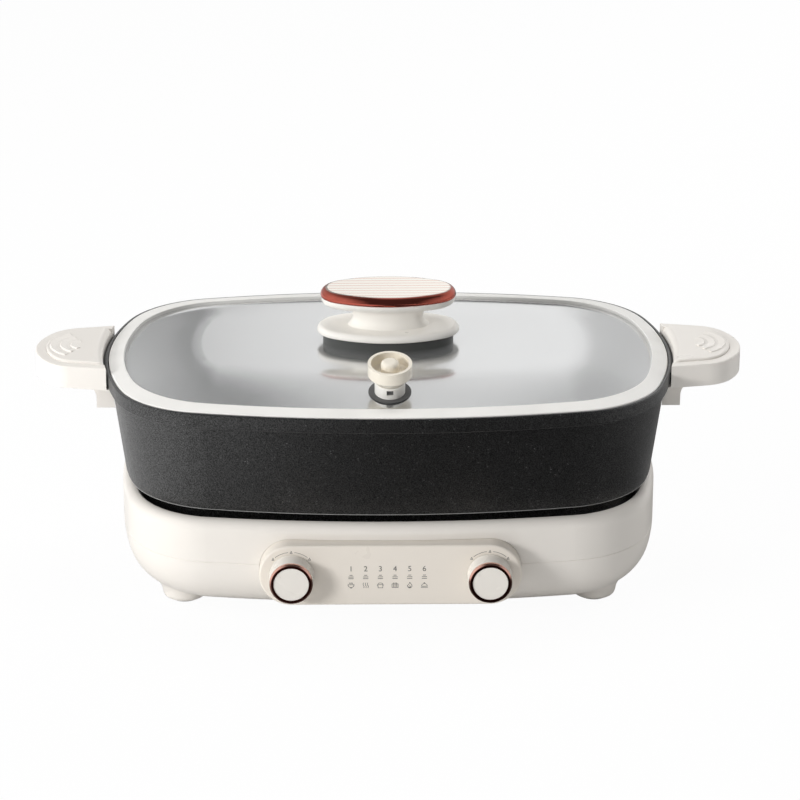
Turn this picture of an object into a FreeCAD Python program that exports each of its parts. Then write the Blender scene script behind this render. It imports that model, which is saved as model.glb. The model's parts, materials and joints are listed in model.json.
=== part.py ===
import FreeCAD, Part
import math
import os
import re

import Sketcher
from FreeCAD import Placement, Rotation, Vector

# Electric hot pot with a lift-off glass lid, in millimetres.
# The origin is on the floor under the middle of the pot: +X runs along the pot to the
# right-hand handle, the control panel faces -Y and +Z is up.
# Every rounded outline is made of four flat arcs and four corner arcs. It is known by its
# half length, half width, corner radius and by how far its sides and its ends bulge.

doc = FreeCAD.newDocument("hot_pot")

# ---------------------------------------------------------------- driving dimensions

SIZES = {
    # base outline
    "base_half_length": 183.6,
    "base_half_width": 121.5,
    "base_corner_radius": 66.0,
    "base_side_bulge": 9.5,
    "base_end_bulge": 7.0,
    # base heights above the floor
    "base_bottom_height": 8.5,
    "parting_height": 46.0,
    "base_rim_height": 75.6,
    # base shells
    "base_wall": 3.0,
    "base_floor": 3.0,
    "tub_radius": 34.0,
    "rim_width": 8.5,
    "rim_round": 1.4,
    "rim_flat": 0.3,
    "parting_chamfer": 0.35,
    "lip_thickness": 1.35,
    "lip_height": 3.0,
    "lip_clearance": 0.15,
    "ledge_height": 58.5,
    "ledge_thickness": 2.5,
    "ledge_width": 22.0,
    # feet and the screws that hold the two shells together
    "foot_spacing_long": 279.0,
    "foot_spacing_wide": 130.0,
    "foot_radius": 15.0,
    "foot_round": 4.2,
    "foot_flare": 7.0,
    "foot_pad_radius": 9.8,
    "foot_pad_thickness": 3.2,
    "foot_pad_proud": 1.2,
    "foot_pad_gap": 0.2,
    "case_screw_spacing_long": 200.0,
    "case_screw_spacing_wide": 175.0,
    "boss_radius": 7.0,
    "boss_height": 34.0,
    "upper_boss_radius": 5.0,
    "counterbore_radius": 4.6,
    "counterbore_depth": 28.0,
    "screw_radius": 2.0,
    "screw_hole_gap": 0.25,
    "screw_head_radius": 3.8,
    "screw_head_height": 2.6,
    "screw_grip": 12.0,
    # slots in the floor of the base
    "vent_length": 34.0,
    "vent_width": 3.0,
    "vent_pitch": 8.0,
    "vent_count": 9.0,
    # heat shield pan, heating plate and what holds them
    "pan_gap": 0.4,
    "pan_sheet": 0.8,
    "pan_flange_width": 25.5,
    "pan_depth": 12.8,
    "plate_margin": 40.0,
    "plate_thickness": 8.0,
    "plate_edge_round": 1.0,
    "seat_height": 62.0,
    "standoff_radius": 5.0,
    "standoff_spacing_long": 200.0,
    "standoff_spacing_wide": 110.0,
    "small_screw_radius": 1.5,
    "small_head_radius": 3.0,
    "small_head_height": 1.8,
    "small_screw_grip": 5.0,
    "pan_screw_inset": 19.0,
    "pan_boss_radius": 4.0,
    "pan_boss_depth": 8.0,
    # heating element
    "element_half_length": 128.0,
    "element_half_width": 46.0,
    "element_tube_radius": 3.5,
    "element_end_gap": 50.0,
    "terminal_radius": 2.0,
    "terminal_length": 14.0,
    "terminal_hole_radius": 5.0,
    # thermostat
    "probe_radius": 12.0,
    "probe_skin": 1.2,
    "probe_depth": 8.5,
    "probe_drop": 0.3,
    "probe_gap": 1.4,
    "stem_radius": 4.0,
    "stem_length": 27.0,
    "stem_fit": 0.05,
    "guide_radius": 17.0,
    "guide_thickness": 3.0,
    "collar_radius": 7.0,
    "collar_depth": 7.0,
    "collar_gap": 0.5,
    "spring_radius": 6.6,
    "spring_wire_radius": 0.6,
    "spring_turns": 4.0,
    "clip_radius": 6.0,
    "clip_thickness": 1.0,
    "clip_drop": 0.8,
    # control panel
    "panel_half_length": 87.0,
    "panel_radius": 21.5,
    "panel_height": 43.6,
    "panel_proud": 8.0,
    "panel_depth": 28.0,
    "panel_wall": 2.5,
    "panel_face_wall": 3.0,
    "panel_edge_round": 1.6,
    "panel_gap": 0.2,
    "panel_back_wall": 1.5,
    # knobs and the switches behind them
    "knob_spacing": 131.0,
    "knob_radius": 14.3,
    "knob_foot_radius": 15.0,
    "knob_length": 13.6,
    "knob_wall": 2.0,
    "knob_gap": 0.5,
    "hub_radius": 5.2,
    "ring_width": 2.7,
    "ring_length": 2.6,
    "ring_bevel": 1.2,
    "cap_thickness": 2.2,
    "cap_set_back": 0.35,
    "pointer_radius": 0.7,
    "pointer_depth": 0.3,
    "pointer_reach": 9.0,
    "knob_rest_angle": 50.0,
    "shaft_radius": 3.0,
    "shaft_flat": 0.8,
    "shaft_fit": 0.05,
    "switch_length": 27.0,
    "switch_height": 26.0,
    "switch_depth": 11.8,
    "bush_radius": 4.5,
    "bush_gap": 0.1,
    "bush_reach": 3.8,
    "nut_radius": 7.0,
    "nut_thickness": 2.4,
    "blade_width": 4.8,
    "blade_thickness": 0.8,
    "blade_length": 7.0,
    # appliance inlet at the back
    "inlet_height": 33.0,
    "inlet_half_length": 17.0,
    "inlet_half_height": 11.5,
    "inlet_corner": 3.0,
    "inlet_proud": 1.5,
    "inlet_depth": 25.0,
    "inlet_gap": 0.2,
    "socket_half_length": 12.4,
    "socket_half_height": 8.4,
    "socket_corner": 2.0,
    "socket_depth": 16.0,
    "pin_spacing": 14.0,
    "pin_offset": 2.0,
    "pin_width": 2.0,
    "pin_height": 4.0,
    "pin_length": 13.0,
    "pin_tail": 8.0,
    # pot outline
    "pot_half_length": 192.3,
    "pot_half_width": 121.7,
    "pot_corner_radius": 79.0,
    "pot_side_bulge": 11.0,
    "pot_end_bulge": 7.8,
    # outline of the pot's rim, which stands out over its wall
    "rim_overhang_long": 1.4,
    "rim_overhang_wide": 3.7,
    "pot_rim_corner_radius": 69.0,
    "pot_rim_side_bulge": 13.1,
    "pot_rim_end_bulge": 12.3,
    # pot section
    "pot_rim_height": 152.5,
    "rim_band_height": 10.0,
    "rim_band_step": 2.0,
    "rim_band_round": 1.0,
    "rim_lip": 1.9,
    "lid_seat_height": 147.0,
    "pot_edge_height": 79.0,
    "wall_draft": 8.5,
    "edge_chamfer_width": 10.0,
    "edge_chamfer_height": 3.2,
    "pot_bottom_wall": 7.0,
    "cavity_inset": 8.8,
    "cavity_draft": 9.0,
    "cavity_round": 20.0,
    # handles
    "handle_top_height": 157.5,
    "handle_thickness": 15.6,
    "handle_length": 49.2,
    "handle_root_depth": 12.3,
    "handle_root_half_width": 45.0,
    "handle_end_half_width": 38.1,
    "handle_corner_radius": 26.5,
    "handle_end_radius": 46.1,
    "handle_bottom_round": 5.0,
    "handle_top_round": 1.0,
    "handle_gap": 1.4,
    "handle_fit": 0.1,
    "bracket_stand_off": 6.2,
    "bracket_half_width": 30.0,
    "bracket_bottom_height": 124.5,
    "bracket_wall_gap": 0.3,
    "bracket_blend": 10.0,
    "cover_margin": 7.0,
    "cover_seat_depth": 4.0,
    "cover_proud": 1.6,
    "cover_round": 1.4,
    "cover_gap": 0.25,
    "cover_end_round": 4.5,
    "ridge_centre_inset": 34.1,
    "ridge_first_radius": 7.9,
    "ridge_pitch": 7.0,
    "ridge_count": 3.0,
    "ridge_width": 5.0,
    "ridge_rise": 0.8,
    "ridge_angle": 118.0,
    "pad_half_width": 37.0,
    "pad_height": 8.0,
    "pad_bottom_height": 142.8,
    "lug_length": 24.7,
    "lug_half_width": 22.0,
    "lug_thickness": 6.0,
    "lug_gap": 0.3,
    "lug_top_drop": 10.4,
    "handle_screw_offset": 14.7,
    "handle_screw_spacing": 26.0,
    "handle_screw_radius": 2.0,
    "handle_head_radius": 3.6,
    "handle_head_height": 1.8,
    "handle_screw_grip": 5.0,
    # lid ring and glass
    "lid_gap": 0.6,
    "lid_edge_height": 5.9,
    "lid_rim_height": 7.85,
    "lid_rim_land": 0.8,
    "lid_rim_round": 1.0,
    "lid_rim_inner_round": 0.4,
    # outline of the glass that the ring leaves open
    "window_inset_long": 11.6,
    "window_inset_wide": 10.2,
    "window_corner_radius": 66.8,
    "window_side_bulge": 11.6,
    "window_end_bulge": 8.5,
    "glass_cover": 6.0,
    "glass_slot_height": 1.5,
    "glass_thickness": 4.0,
    "dome_inset": 0.9,
    "dome_run": 52.0,
    "dome_rise": 9.5,
    # lid knob
    "gasket_half_length": 44.6,
    "gasket_half_width": 24.5,
    "gasket_end_radius": 18.5,
    "gasket_height": 7.0,
    "gasket_round": 1.5,
    "flange_half_length": 48.6,
    "flange_half_width": 28.5,
    "flange_end_radius": 21.5,
    "flange_thickness": 5.0,
    "flange_top_round": 3.7,
    "flange_bottom_round": 1.0,
    "neck_foot_half_length": 31.0,
    "neck_foot_half_width": 18.0,
    "neck_foot_end_radius": 14.0,
    "waist_half_length": 24.3,
    "waist_half_width": 13.6,
    "waist_end_radius": 10.5,
    "neck_height": 14.0,
    "dish_foot_half_length": 35.0,
    "dish_foot_half_width": 18.5,
    "dish_foot_end_radius": 14.0,
    "dish_half_length": 45.4,
    "dish_half_width": 25.0,
    "dish_end_radius": 18.5,
    "dish_flare": 4.5,
    "dish_edge": 1.6,
    "knob_cap_overhang": 0.8,
    "knob_cap_height": 6.1,
    "knob_cap_round": 4.8,
    "knob_cap_lower_round": 1.0,
    "lid_screw_radius": 2.5,
    "lid_screw_reach": 14.0,
    "lid_washer_radius": 11.0,
    "lid_washer_thickness": 1.5,
    "lid_hole_gap": 1.0,
    "lid_head_radius": 5.0,
    "lid_head_height": 3.2,
    # steam valve
    "valve_reach": 90.0,
    "valve_ring_radius": 10.1,
    "valve_ring_height": 8.2,
    "valve_ring_round": 1.0,
    "valve_tube_radius": 6.6,
    "valve_bore_radius": 2.5,
    "valve_tube_gap": 0.5,
    "valve_spigot_radius": 4.2,
    "valve_spigot_height": 4.0,
    "valve_fit": 0.06,
    "valve_lift": 0.3,
    "valve_nut_radius": 11.0,
    "valve_nut_thickness": 3.0,
    "valve_nut_gap": 0.4,
    "valve_window_width": 4.4,
    "valve_window_height": 3.8,
    "valve_window_drop": 1.2,
    "valve_window_depth": 2.4,
    "cup_radius": 14.6,
    "cup_foot_radius": 9.0,
    "cup_cone_height": 5.5,
    "cup_height": 14.0,
    "cup_wall": 2.0,
    "cup_floor": 4.6,
    "post_radius": 6.1,
    "post_height": 15.6,
    "post_round": 3.0,
}

# sizes that follow from the ones above
DERIVED = {
    "no_grow": "0",
    "foot_bottom_height": "foot_pad_proud",
    "shoulder_radius": "rim_width - rim_round - rim_flat",
    "base_inner_grow": "0 - base_wall",
    "lip_outer_grow": "0 - base_wall + lip_thickness",
    "rabbet_grow": "0 - base_wall + lip_thickness + lip_clearance",
    "well_grow": "0 - rim_width",
    "opening_grow": "0 - rim_width - ledge_width",
    "pan_outer_grow": "0 - rim_width - pan_gap",
    "pan_bowl_grow": "0 - rim_width - pan_flange_width",
    "pan_inner_grow": "0 - rim_width - pan_flange_width - pan_sheet",
    "pan_bottom_height": "ledge_height - pan_depth",
    "pan_floor_height": "ledge_height - pan_depth + pan_sheet",
    "plate_grow": "0 - plate_margin",
    "plate_bottom_height": "seat_height - plate_thickness",
    "standoff_height": "seat_height - plate_thickness - pan_floor_height",
    "element_height": "plate_bottom_height - element_tube_radius",
    "probe_top_height": "seat_height - probe_drop",
    "guide_top_height": "pan_floor_height + guide_thickness",
    "probe_inside_height": "seat_height - probe_drop - probe_skin",
    "panel_face_reach": "base_half_width + panel_proud",
    "panel_back_reach": "panel_face_reach - panel_depth",
    "panel_window_reach": "base_half_width - rim_width + panel_back_wall",
    "panel_notch_height": "parting_height + lip_height - panel_gap",
    "panel_centre_half": "panel_half_length - panel_radius",
    "knob_back_reach": "panel_face_reach + knob_gap",
    "knob_half_spacing": "knob_spacing / 2",
    "switch_face_reach": "panel_face_reach - panel_face_wall",
    "inlet_reach": "base_half_width + inlet_proud",
    "rim_inner_grow": "0 - rim_lip",
    "cavity_grow": "0 - cavity_inset",
    "cavity_low_grow": "0 - cavity_inset - cavity_draft",
    "pot_rim_half_length": "pot_half_length + rim_overhang_long",
    "pot_rim_half_width": "pot_half_width + rim_overhang_wide",
    "wall_top_grow": "0 - rim_band_step",
    "wall_low_grow": "0 - rim_band_step - wall_draft",
    "plinth_grow": "0 - rim_band_step - wall_draft - edge_chamfer_width",
    "band_bottom_height": "pot_rim_height - rim_band_height",
    "chamfer_bottom_height": "pot_edge_height - edge_chamfer_height",
    "cavity_bottom_height": "seat_height + pot_bottom_wall",
    "wall_slope": "wall_draft / (band_bottom_height - pot_edge_height)",
    "bracket_top_grow": "0 - rim_band_step + bracket_wall_gap",
    "bracket_low_grow": "bracket_top_grow - wall_slope * (band_bottom_height - bracket_bottom_height)",
    "handle_reach": "pot_half_length + handle_length",
    "handle_root_reach": "pot_half_length - handle_root_depth",
    "bracket_reach": "pot_half_length + bracket_stand_off",
    "lug_reach": "pot_half_length + lug_length",
    "handle_screw_reach": "pot_half_length + handle_screw_offset",
    "ridge_centre_reach": "handle_reach - ridge_centre_inset",
    "handle_bottom_height": "handle_top_height - handle_thickness",
    "lug_top_height": "handle_top_height - lug_top_drop",
    "cover_seat_height": "handle_top_height - cover_seat_depth",
    "cover_top_height": "handle_top_height + cover_proud",
    "pad_inner_grow": "handle_fit",
    "pad_outer_grow": "handle_gap - handle_fit",
    "lid_outer_grow": "0 - rim_lip - lid_gap",
    "lid_shoulder_height": "lid_seat_height + lid_edge_height",
    "lid_top_height": "lid_seat_height + lid_rim_height",
    "window_half_length": "pot_half_length - window_inset_long",
    "window_half_width": "pot_half_width - window_inset_wide",
    "glass_bottom_height": "lid_seat_height + glass_slot_height",
    "glass_edge_height": "glass_bottom_height + glass_thickness",
    "dome_top_height": "glass_edge_height + dome_rise",
    "flange_height": "dome_top_height + gasket_height",
    "neck_bottom_height": "flange_height + flange_thickness",
    "dish_bottom_height": "neck_bottom_height + neck_height",
    "dish_edge_height": "dish_bottom_height + dish_flare",
    "dish_top_height": "dish_edge_height + dish_edge",
    "dome_start_grow": "0 - dome_inset",
    "valve_share": "(window_half_width + dome_start_grow - valve_reach) / dome_run",
    "valve_height": "glass_edge_height + dome_rise * (1 - (1 - valve_share) ^ 2)",
    "valve_tilt": "atan(2 * dome_rise / dome_run * (1 - valve_share)) / 1 deg",
    "cup_lift": "valve_ring_height + valve_lift",
}


def formula(text):
    """An expression in which each named size is looked up in the sheet."""
    return re.sub(r"\b[a-z]+(?:_[a-z]+)+\b", lambda word: "Sizes." + word.group(0), text)


def make_sheet():
    sheet = doc.addObject("Spreadsheet::Sheet", "Sizes")
    row = 1
    for name, value in SIZES.items():
        sheet.set(f"A{row}", name)
        sheet.set(f"B{row}", str(value))
        sheet.setAlias(f"B{row}", name)
        row += 1
    for name, text in DERIVED.items():
        sheet.set(f"A{row}", name)
        sheet.set(f"B{row}", "=" + re.sub(r"\bSizes\.", "", formula(text)))
        sheet.setAlias(f"B{row}", name)
        row += 1
    doc.recompute()
    return sheet


sheet = make_sheet()


def number(text):
    """The present value of an expression."""
    return float(sheet.evalExpression(formula(text)))


def bind(thing, **values):
    """Set properties of an object from expressions."""
    for name, text in values.items():
        thing.setExpression(name, formula(text))


def put(thing, x="0", y="0", z="0"):
    """Place an object at a point given by three expressions."""
    for axis, text in zip("xyz", (x, y, z)):
        thing.setExpression("Placement.Base." + axis, formula(text))


# ---------------------------------------------------------------- sketches

AXIS_H, AXIS_V = range(-1, -3, -1)
START, END, CENTRE = range(1, 4)


def new_sketch(body, name, plane, offset="0"):
    """A sketch on one of the body's own origin planes, moved along its normal."""
    sketch = body.newObject("Sketcher::SketchObject", name)
    origin = [f for f in body.Origin.OriginFeatures if f.Role == plane][0]
    sketch.AttachmentSupport = [(origin, "")]
    sketch.MapMode = "FlatFace"
    sketch.setExpression("AttachmentOffset.Base.z", formula(offset))
    return sketch


def pin(sketch, text, *constraint):
    """A dimension whose value is an expression."""
    index = sketch.addConstraint(Sketcher.Constraint(*constraint, number(text)))
    sketch.setExpression(f"Constraints[{index}]", formula(text))


def pin_coordinate(sketch, kind, text, index, point):
    """Hold a point at a signed distance from the sketch's origin along one axis."""
    value = number(text)
    if abs(value) < 1e-9:
        axis = AXIS_V if kind == "DistanceX" else AXIS_H
        sketch.addConstraint(Sketcher.Constraint("PointOnObject", index, point, axis))
    elif value > 0:
        pin(sketch, text, kind, -1, START, index, point)
    else:
        pin(sketch, f"0 - ({text})", kind, index, point, -1, START)


def pin_point(sketch, index, point, x, y):
    pin_coordinate(sketch, "DistanceX", x, index, point)
    pin_coordinate(sketch, "DistanceY", y, index, point)


def arc(x, y, radius, start, end):
    return Part.ArcOfCircle(Part.Circle(Vector(x, y, 0), Vector(0, 0, 1), radius), start, end)


def outline_sizes(family, grow):
    """Expressions of an outline: half length, half width and the radii of its three arcs."""
    corner = f"{family}_corner_radius"
    long_run = f"({family}_half_length - {corner})"
    wide_run = f"({family}_half_width - {corner})"
    side = f"{family}_side_bulge"
    end = f"{family}_end_bulge"
    return {
        "length": f"{family}_half_length + {grow}",
        "width": f"{family}_half_width + {grow}",
        "corner": f"{corner} + {grow}",
        "side": f"{corner} + {grow} + ({long_run} ^ 2 + {side} ^ 2) / (2 * {side})",
        "end": f"{corner} + {grow} + ({wide_run} ^ 2 + {end} ^ 2) / (2 * {end})",
    }


def corner_centre(length, width, side, end, corner):
    """Centre of the corner arc that touches a side arc and an end arc from inside."""
    side_y = width - side
    end_x = length - end
    apart = math.hypot(end_x, side_y)
    reach_side = side - corner
    reach_end = end - corner
    along = (reach_side**2 - reach_end**2 + apart**2) / (2 * apart)
    across = math.sqrt(reach_side**2 - along**2)
    unit_x = end_x / apart
    unit_y = -side_y / apart
    x = along * unit_x + across * unit_y
    y = side_y + along * unit_y - across * unit_x
    return x, y


def outline_values(family, grow):
    values = {key: number(text) for key, text in outline_sizes(family, grow).items()}
    x, y = corner_centre(**values)
    values["x"] = x
    values["y"] = y
    return values


def outline(body, name, family, grow, height):
    """A closed rounded outline on a level plane, made larger or smaller by grow."""
    texts = outline_sizes(family, grow)
    now = outline_values(family, grow)
    sketch = new_sketch(body, name, "XY_Plane", height)
    side_turn = math.atan2(now["y"] - now["width"] + now["side"], now["x"])
    end_turn = math.atan2(now["y"], now["x"] - now["length"] + now["end"])
    half = math.pi
    side_y = now["width"] - now["side"]
    end_x = now["length"] - now["end"]
    arcs = [
        arc(end_x, 0, now["end"], -end_turn, end_turn),
        arc(now["x"], now["y"], now["corner"], end_turn, side_turn),
        arc(0, side_y, now["side"], side_turn, half - side_turn),
        arc(-now["x"], now["y"], now["corner"], half - side_turn, half - end_turn),
        arc(-end_x, 0, now["end"], half - end_turn, half + end_turn),
        arc(-now["x"], -now["y"], now["corner"], half + end_turn, half + side_turn),
        arc(0, -side_y, now["side"], half + side_turn, 2 * half - side_turn),
        arc(now["x"], -now["y"], now["corner"], 2 * half - side_turn, 2 * half - end_turn),
    ]
    sketch.addGeometry(arcs, False)
    for index in range(8):
        following = (index + 1) % 8
        sketch.addConstraint(Sketcher.Constraint("Tangent", index, END, following, START))
    for index in (1, 3, 5, 7):
        pin(sketch, texts["corner"], "Radius", index)
    for index in (0, 4):
        pin(sketch, texts["end"], "Radius", index)
    for index in (2, 6):
        pin(sketch, texts["side"], "Radius", index)
    end_text = f"{texts['length']} - ({texts['end']})"
    side_text = f"{texts['width']} - ({texts['side']})"
    pin_point(sketch, 0, CENTRE, end_text, "0")
    pin_point(sketch, 2, CENTRE, "0", side_text)
    pin_point(sketch, 4, CENTRE, f"0 - ({end_text})", "0")
    pin_point(sketch, 6, CENTRE, "0", f"0 - ({side_text})")
    return sketch


def grow_of(family, x, y):
    """How far a point lies outside (+) or inside (-) the plain outline of a family."""
    now = outline_values(family, "no_grow")
    x, y = abs(x), abs(y)
    side_y = now["width"] - now["side"]
    end_x = now["length"] - now["end"]
    side_turn = math.atan2(now["y"] - side_y, now["x"])
    end_turn = math.atan2(now["y"], now["x"] - end_x)
    if math.atan2(y - side_y, x) >= side_turn:
        return math.hypot(x, y - side_y) - now["side"]
    if math.atan2(y, x - end_x) <= end_turn:
        return math.hypot(x - end_x, y) - now["end"]
    return math.hypot(x - now["x"], y - now["y"]) - now["corner"]


def oval(body, name, family, height, grow="0"):
    """An oval of two side arcs and two end arcs on a level plane."""
    length = f"({family}_half_length + {grow})"
    width = f"({family}_half_width + {grow})"
    end = f"({family}_end_radius + {grow})"
    side = f"(({length} ^ 2 + {width} ^ 2 - 2 * {length} * {end}) / (2 * ({width} - {end})))"
    end_x = number(f"{length} - {end}")
    side_y = number(f"{width} - {side}")
    turn = math.atan2(-side_y, end_x)
    sketch = new_sketch(body, name, "XY_Plane", height)
    half = math.pi
    arcs = [
        arc(end_x, 0, number(end), -turn, turn),
        arc(0, side_y, number(side), turn, half - turn),
        arc(-end_x, 0, number(end), half - turn, half + turn),
        arc(0, -side_y, number(side), half + turn, 2 * half - turn),
    ]
    sketch.addGeometry(arcs, False)
    for index in range(4):
        following = (index + 1) % 4
        sketch.addConstraint(Sketcher.Constraint("Tangent", index, END, following, START))
    pin_point(sketch, 0, CENTRE, f"{length} - {end}", "0")
    pin_point(sketch, 2, CENTRE, f"{end} - {length}", "0")
    pin(sketch, end, "Radius", 0)
    pin(sketch, end, "Radius", 2)
    pin(sketch, side, "Radius", 1)
    pin(sketch, side, "Radius", 3)
    return sketch


def circles(body, name, plane, offset, radius, centres):
    """Equal circles at the given centres."""
    sketch = new_sketch(body, name, plane, offset)
    for index, (x, y) in enumerate(centres):
        circle = Part.Circle(Vector(number(x), number(y), 0), Vector(0, 0, 1), number(radius))
        sketch.addGeometry(circle, False)
        pin(sketch, radius, "Radius", index)
        pin_point(sketch, index, CENTRE, x, y)
    return sketch


def polygon(body, name, plane, offset, corners):
    """A closed run of straight lines through corners given as expressions."""
    sketch = new_sketch(body, name, plane, offset)
    points = [Vector(number(x), number(y), 0) for x, y in corners]
    count = len(points)
    for index in range(count):
        sketch.addGeometry(Part.LineSegment(points[index], points[(index + 1) % count]), False)
    for index in range(count):
        following = (index + 1) % count
        sketch.addConstraint(Sketcher.Constraint("Coincident", index, END, following, START))
    for index, (x, y) in enumerate(corners):
        pin_point(sketch, index, START, x, y)
    return sketch


def box_corners(x_low, x_high, y_low, y_high):
    return [(x_low, y_low), (x_high, y_low), (x_high, y_high), (x_low, y_high)]


def stadium(body, name, plane, offset, half_run, radius, centre_y):
    """Two half circles joined by straight lines, centred on the vertical axis."""
    sketch = new_sketch(body, name, plane, offset)
    run, size, middle = number(half_run), number(radius), number(centre_y)
    quarter = math.pi / 2
    low, high = middle - size, middle + size
    sketch.addGeometry(arc(run, middle, size, -quarter, quarter), False)
    sketch.addGeometry(Part.LineSegment(Vector(run, high, 0), Vector(-run, high, 0)), False)
    sketch.addGeometry(arc(-run, middle, size, quarter, 3 * quarter), False)
    sketch.addGeometry(Part.LineSegment(Vector(-run, low, 0), Vector(run, low, 0)), False)
    for index in range(4):
        following = (index + 1) % 4
        sketch.addConstraint(Sketcher.Constraint("Tangent", index, END, following, START))
    pin(sketch, radius, "Radius", 0)
    pin_point(sketch, 0, CENTRE, half_run, centre_y)
    pin_point(sketch, 2, CENTRE, f"0 - ({half_run})", centre_y)
    return sketch


# ---------------------------------------------------------------- features


def new_body(name):
    body = doc.addObject("PartDesign::Body", name)
    body.Label = name
    return body


def pad(body, name, sketch, length, flip=False):
    """Grow a sketch along its normal, or against it when flipped."""
    feature = body.newObject("PartDesign::Pad", name)
    feature.Profile = sketch
    feature.Reversed = flip
    bind(feature, Length=length)
    doc.recompute()
    return feature


def cut(body, name, sketch, length, along=True):
    """Cut a sketch's outline along its normal, or against it."""
    feature = body.newObject("PartDesign::Pocket", name)
    feature.Profile = sketch
    feature.Reversed = along
    bind(feature, Length=length)
    doc.recompute()
    return feature


def loft(body, name, sketches, ruled=False, take_away=False):
    kind = "PartDesign::SubtractiveLoft" if take_away else "PartDesign::AdditiveLoft"
    feature = body.newObject(kind, name)
    feature.Profile = sketches[0]
    feature.Sections = sketches[1:]
    feature.Ruled = ruled
    doc.recompute()
    return feature


def spin(body, name, sketch, axis="V_Axis", take_away=False, angle=None):
    kind = "PartDesign::Groove" if take_away else "PartDesign::Revolution"
    feature = body.newObject(kind, name)
    feature.Profile = sketch
    feature.ReferenceAxis = (sketch, [axis])
    if angle is None:
        feature.Angle = 360
    else:
        feature.Midplane = True
        bind(feature, Angle=angle)
    doc.recompute()
    return feature


def edge_points(edge):
    first, last = edge.ParameterRange
    steps = 4
    return [edge.valueAt(first + (last - first) * k / steps) for k in range(steps + 1)]


def pick(body, keep):
    """Names of the edges of a body whose points all pass a test."""
    names = []
    for index, edge in enumerate(body.Tip.Shape.Edges):
        if all(keep(point) for point in edge_points(edge)):
            names.append(f"Edge{index + 1}")
    return names


def near(value, text):
    return abs(value - number(text)) < 0.02


def on_outline(family, grow, height):
    """Test for points that lie on a level outline."""

    def keep(point):
        level = near(point.z, height)
        return level and near(grow_of(family, point.x, point.y), grow)

    return keep


def dress(body, name, kind, size, keep):
    """Fillet or chamfer of the edges that pass a test."""
    base = body.Tip
    edges = pick(body, keep)
    if not edges:
        raise ValueError(f"{body.Label}: no edge for {name}")
    feature = body.newObject("PartDesign::" + kind, name)
    feature.Base = (base, edges)
    if kind == "Fillet":
        bind(feature, Radius=size)
    else:
        bind(feature, Size=size)
    doc.recompute()
    return feature


def cylinder(name, radius, length, x="0", y="0", z="0", turn=None):
    """A cylinder along +Z, or along another direction when turned."""
    thing = doc.addObject("Part::Cylinder", name)
    bind(thing, Radius=radius, Height=length)
    if turn:
        thing.Placement = Placement(Vector(), turn)
    put(thing, x, y, z)
    return thing


def block(name, length, width, height, x="0", y="0", z="0"):
    """A box centred on x and y, that stands on z."""
    thing = doc.addObject("Part::Box", name)
    bind(thing, Length=length, Width=width, Height=height)
    put(thing, f"{x} - ({length}) / 2", f"{y} - ({width}) / 2", z)
    return thing


def group(name, members):
    """Separate equal solids that share one node."""
    thing = doc.addObject("Part::Compound", name)
    thing.Links = members
    thing.Label = name
    return thing


def fuse(name, members):
    thing = doc.addObject("Part::MultiFuse", name)
    thing.Shapes = members
    return thing


def subtract(name, base, tool):
    thing = doc.addObject("Part::Cut", name)
    thing.Base = base
    thing.Tool = tool
    return thing


def screws(name, places, radius, grip, head_radius, head_height, head_up):
    """Pan-head screws whose heads bear at the given points."""
    made = []
    for index, (x, y, z) in enumerate(places):
        if head_up:
            head = cylinder(f"{name}_head_{index}", head_radius, head_height, x, y, z)
            shank = cylinder(f"{name}_shank_{index}", radius, grip, x, y, f"{z} - ({grip})")
        else:
            head_z = f"{z} - ({head_height})"
            head = cylinder(f"{name}_head_{index}", head_radius, head_height, x, y, head_z)
            shank = cylinder(f"{name}_shank_{index}", radius, grip, x, y, z)
        made.append(fuse(f"{name}_screw_{index}", [head, shank]))
    return group(name, made)


TO_FRONT = Rotation(Vector(1, 0, 0), 90)
TO_BACK = Rotation(Vector(1, 0, 0), -90)


def four(long_spacing, wide_spacing):
    """The four points of a rectangle centred on the origin."""
    return [
        (f"{i} * {long_spacing} / 2", f"{j} * {wide_spacing} / 2")
        for i in (-1, 1)
        for j in (-1, 1)
    ]


FEET = four("foot_spacing_long", "foot_spacing_wide")
CASE_SCREWS = four("case_screw_spacing_long", "case_screw_spacing_wide")
STANDOFFS = four("standoff_spacing_long", "standoff_spacing_wide")


# ---------------------------------------------------------------- base shells


def cut_panel_window(body, start):
    """The opening in a shell that the control panel is pushed through."""
    sketch = stadium(
        body,
        body.Label + "_window_sketch",
        "XZ_Plane",
        start,
        "panel_centre_half",
        "panel_radius + panel_gap",
        "panel_height",
    )
    cut(body, body.Label + "_window", sketch, "base_half_width")


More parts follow.
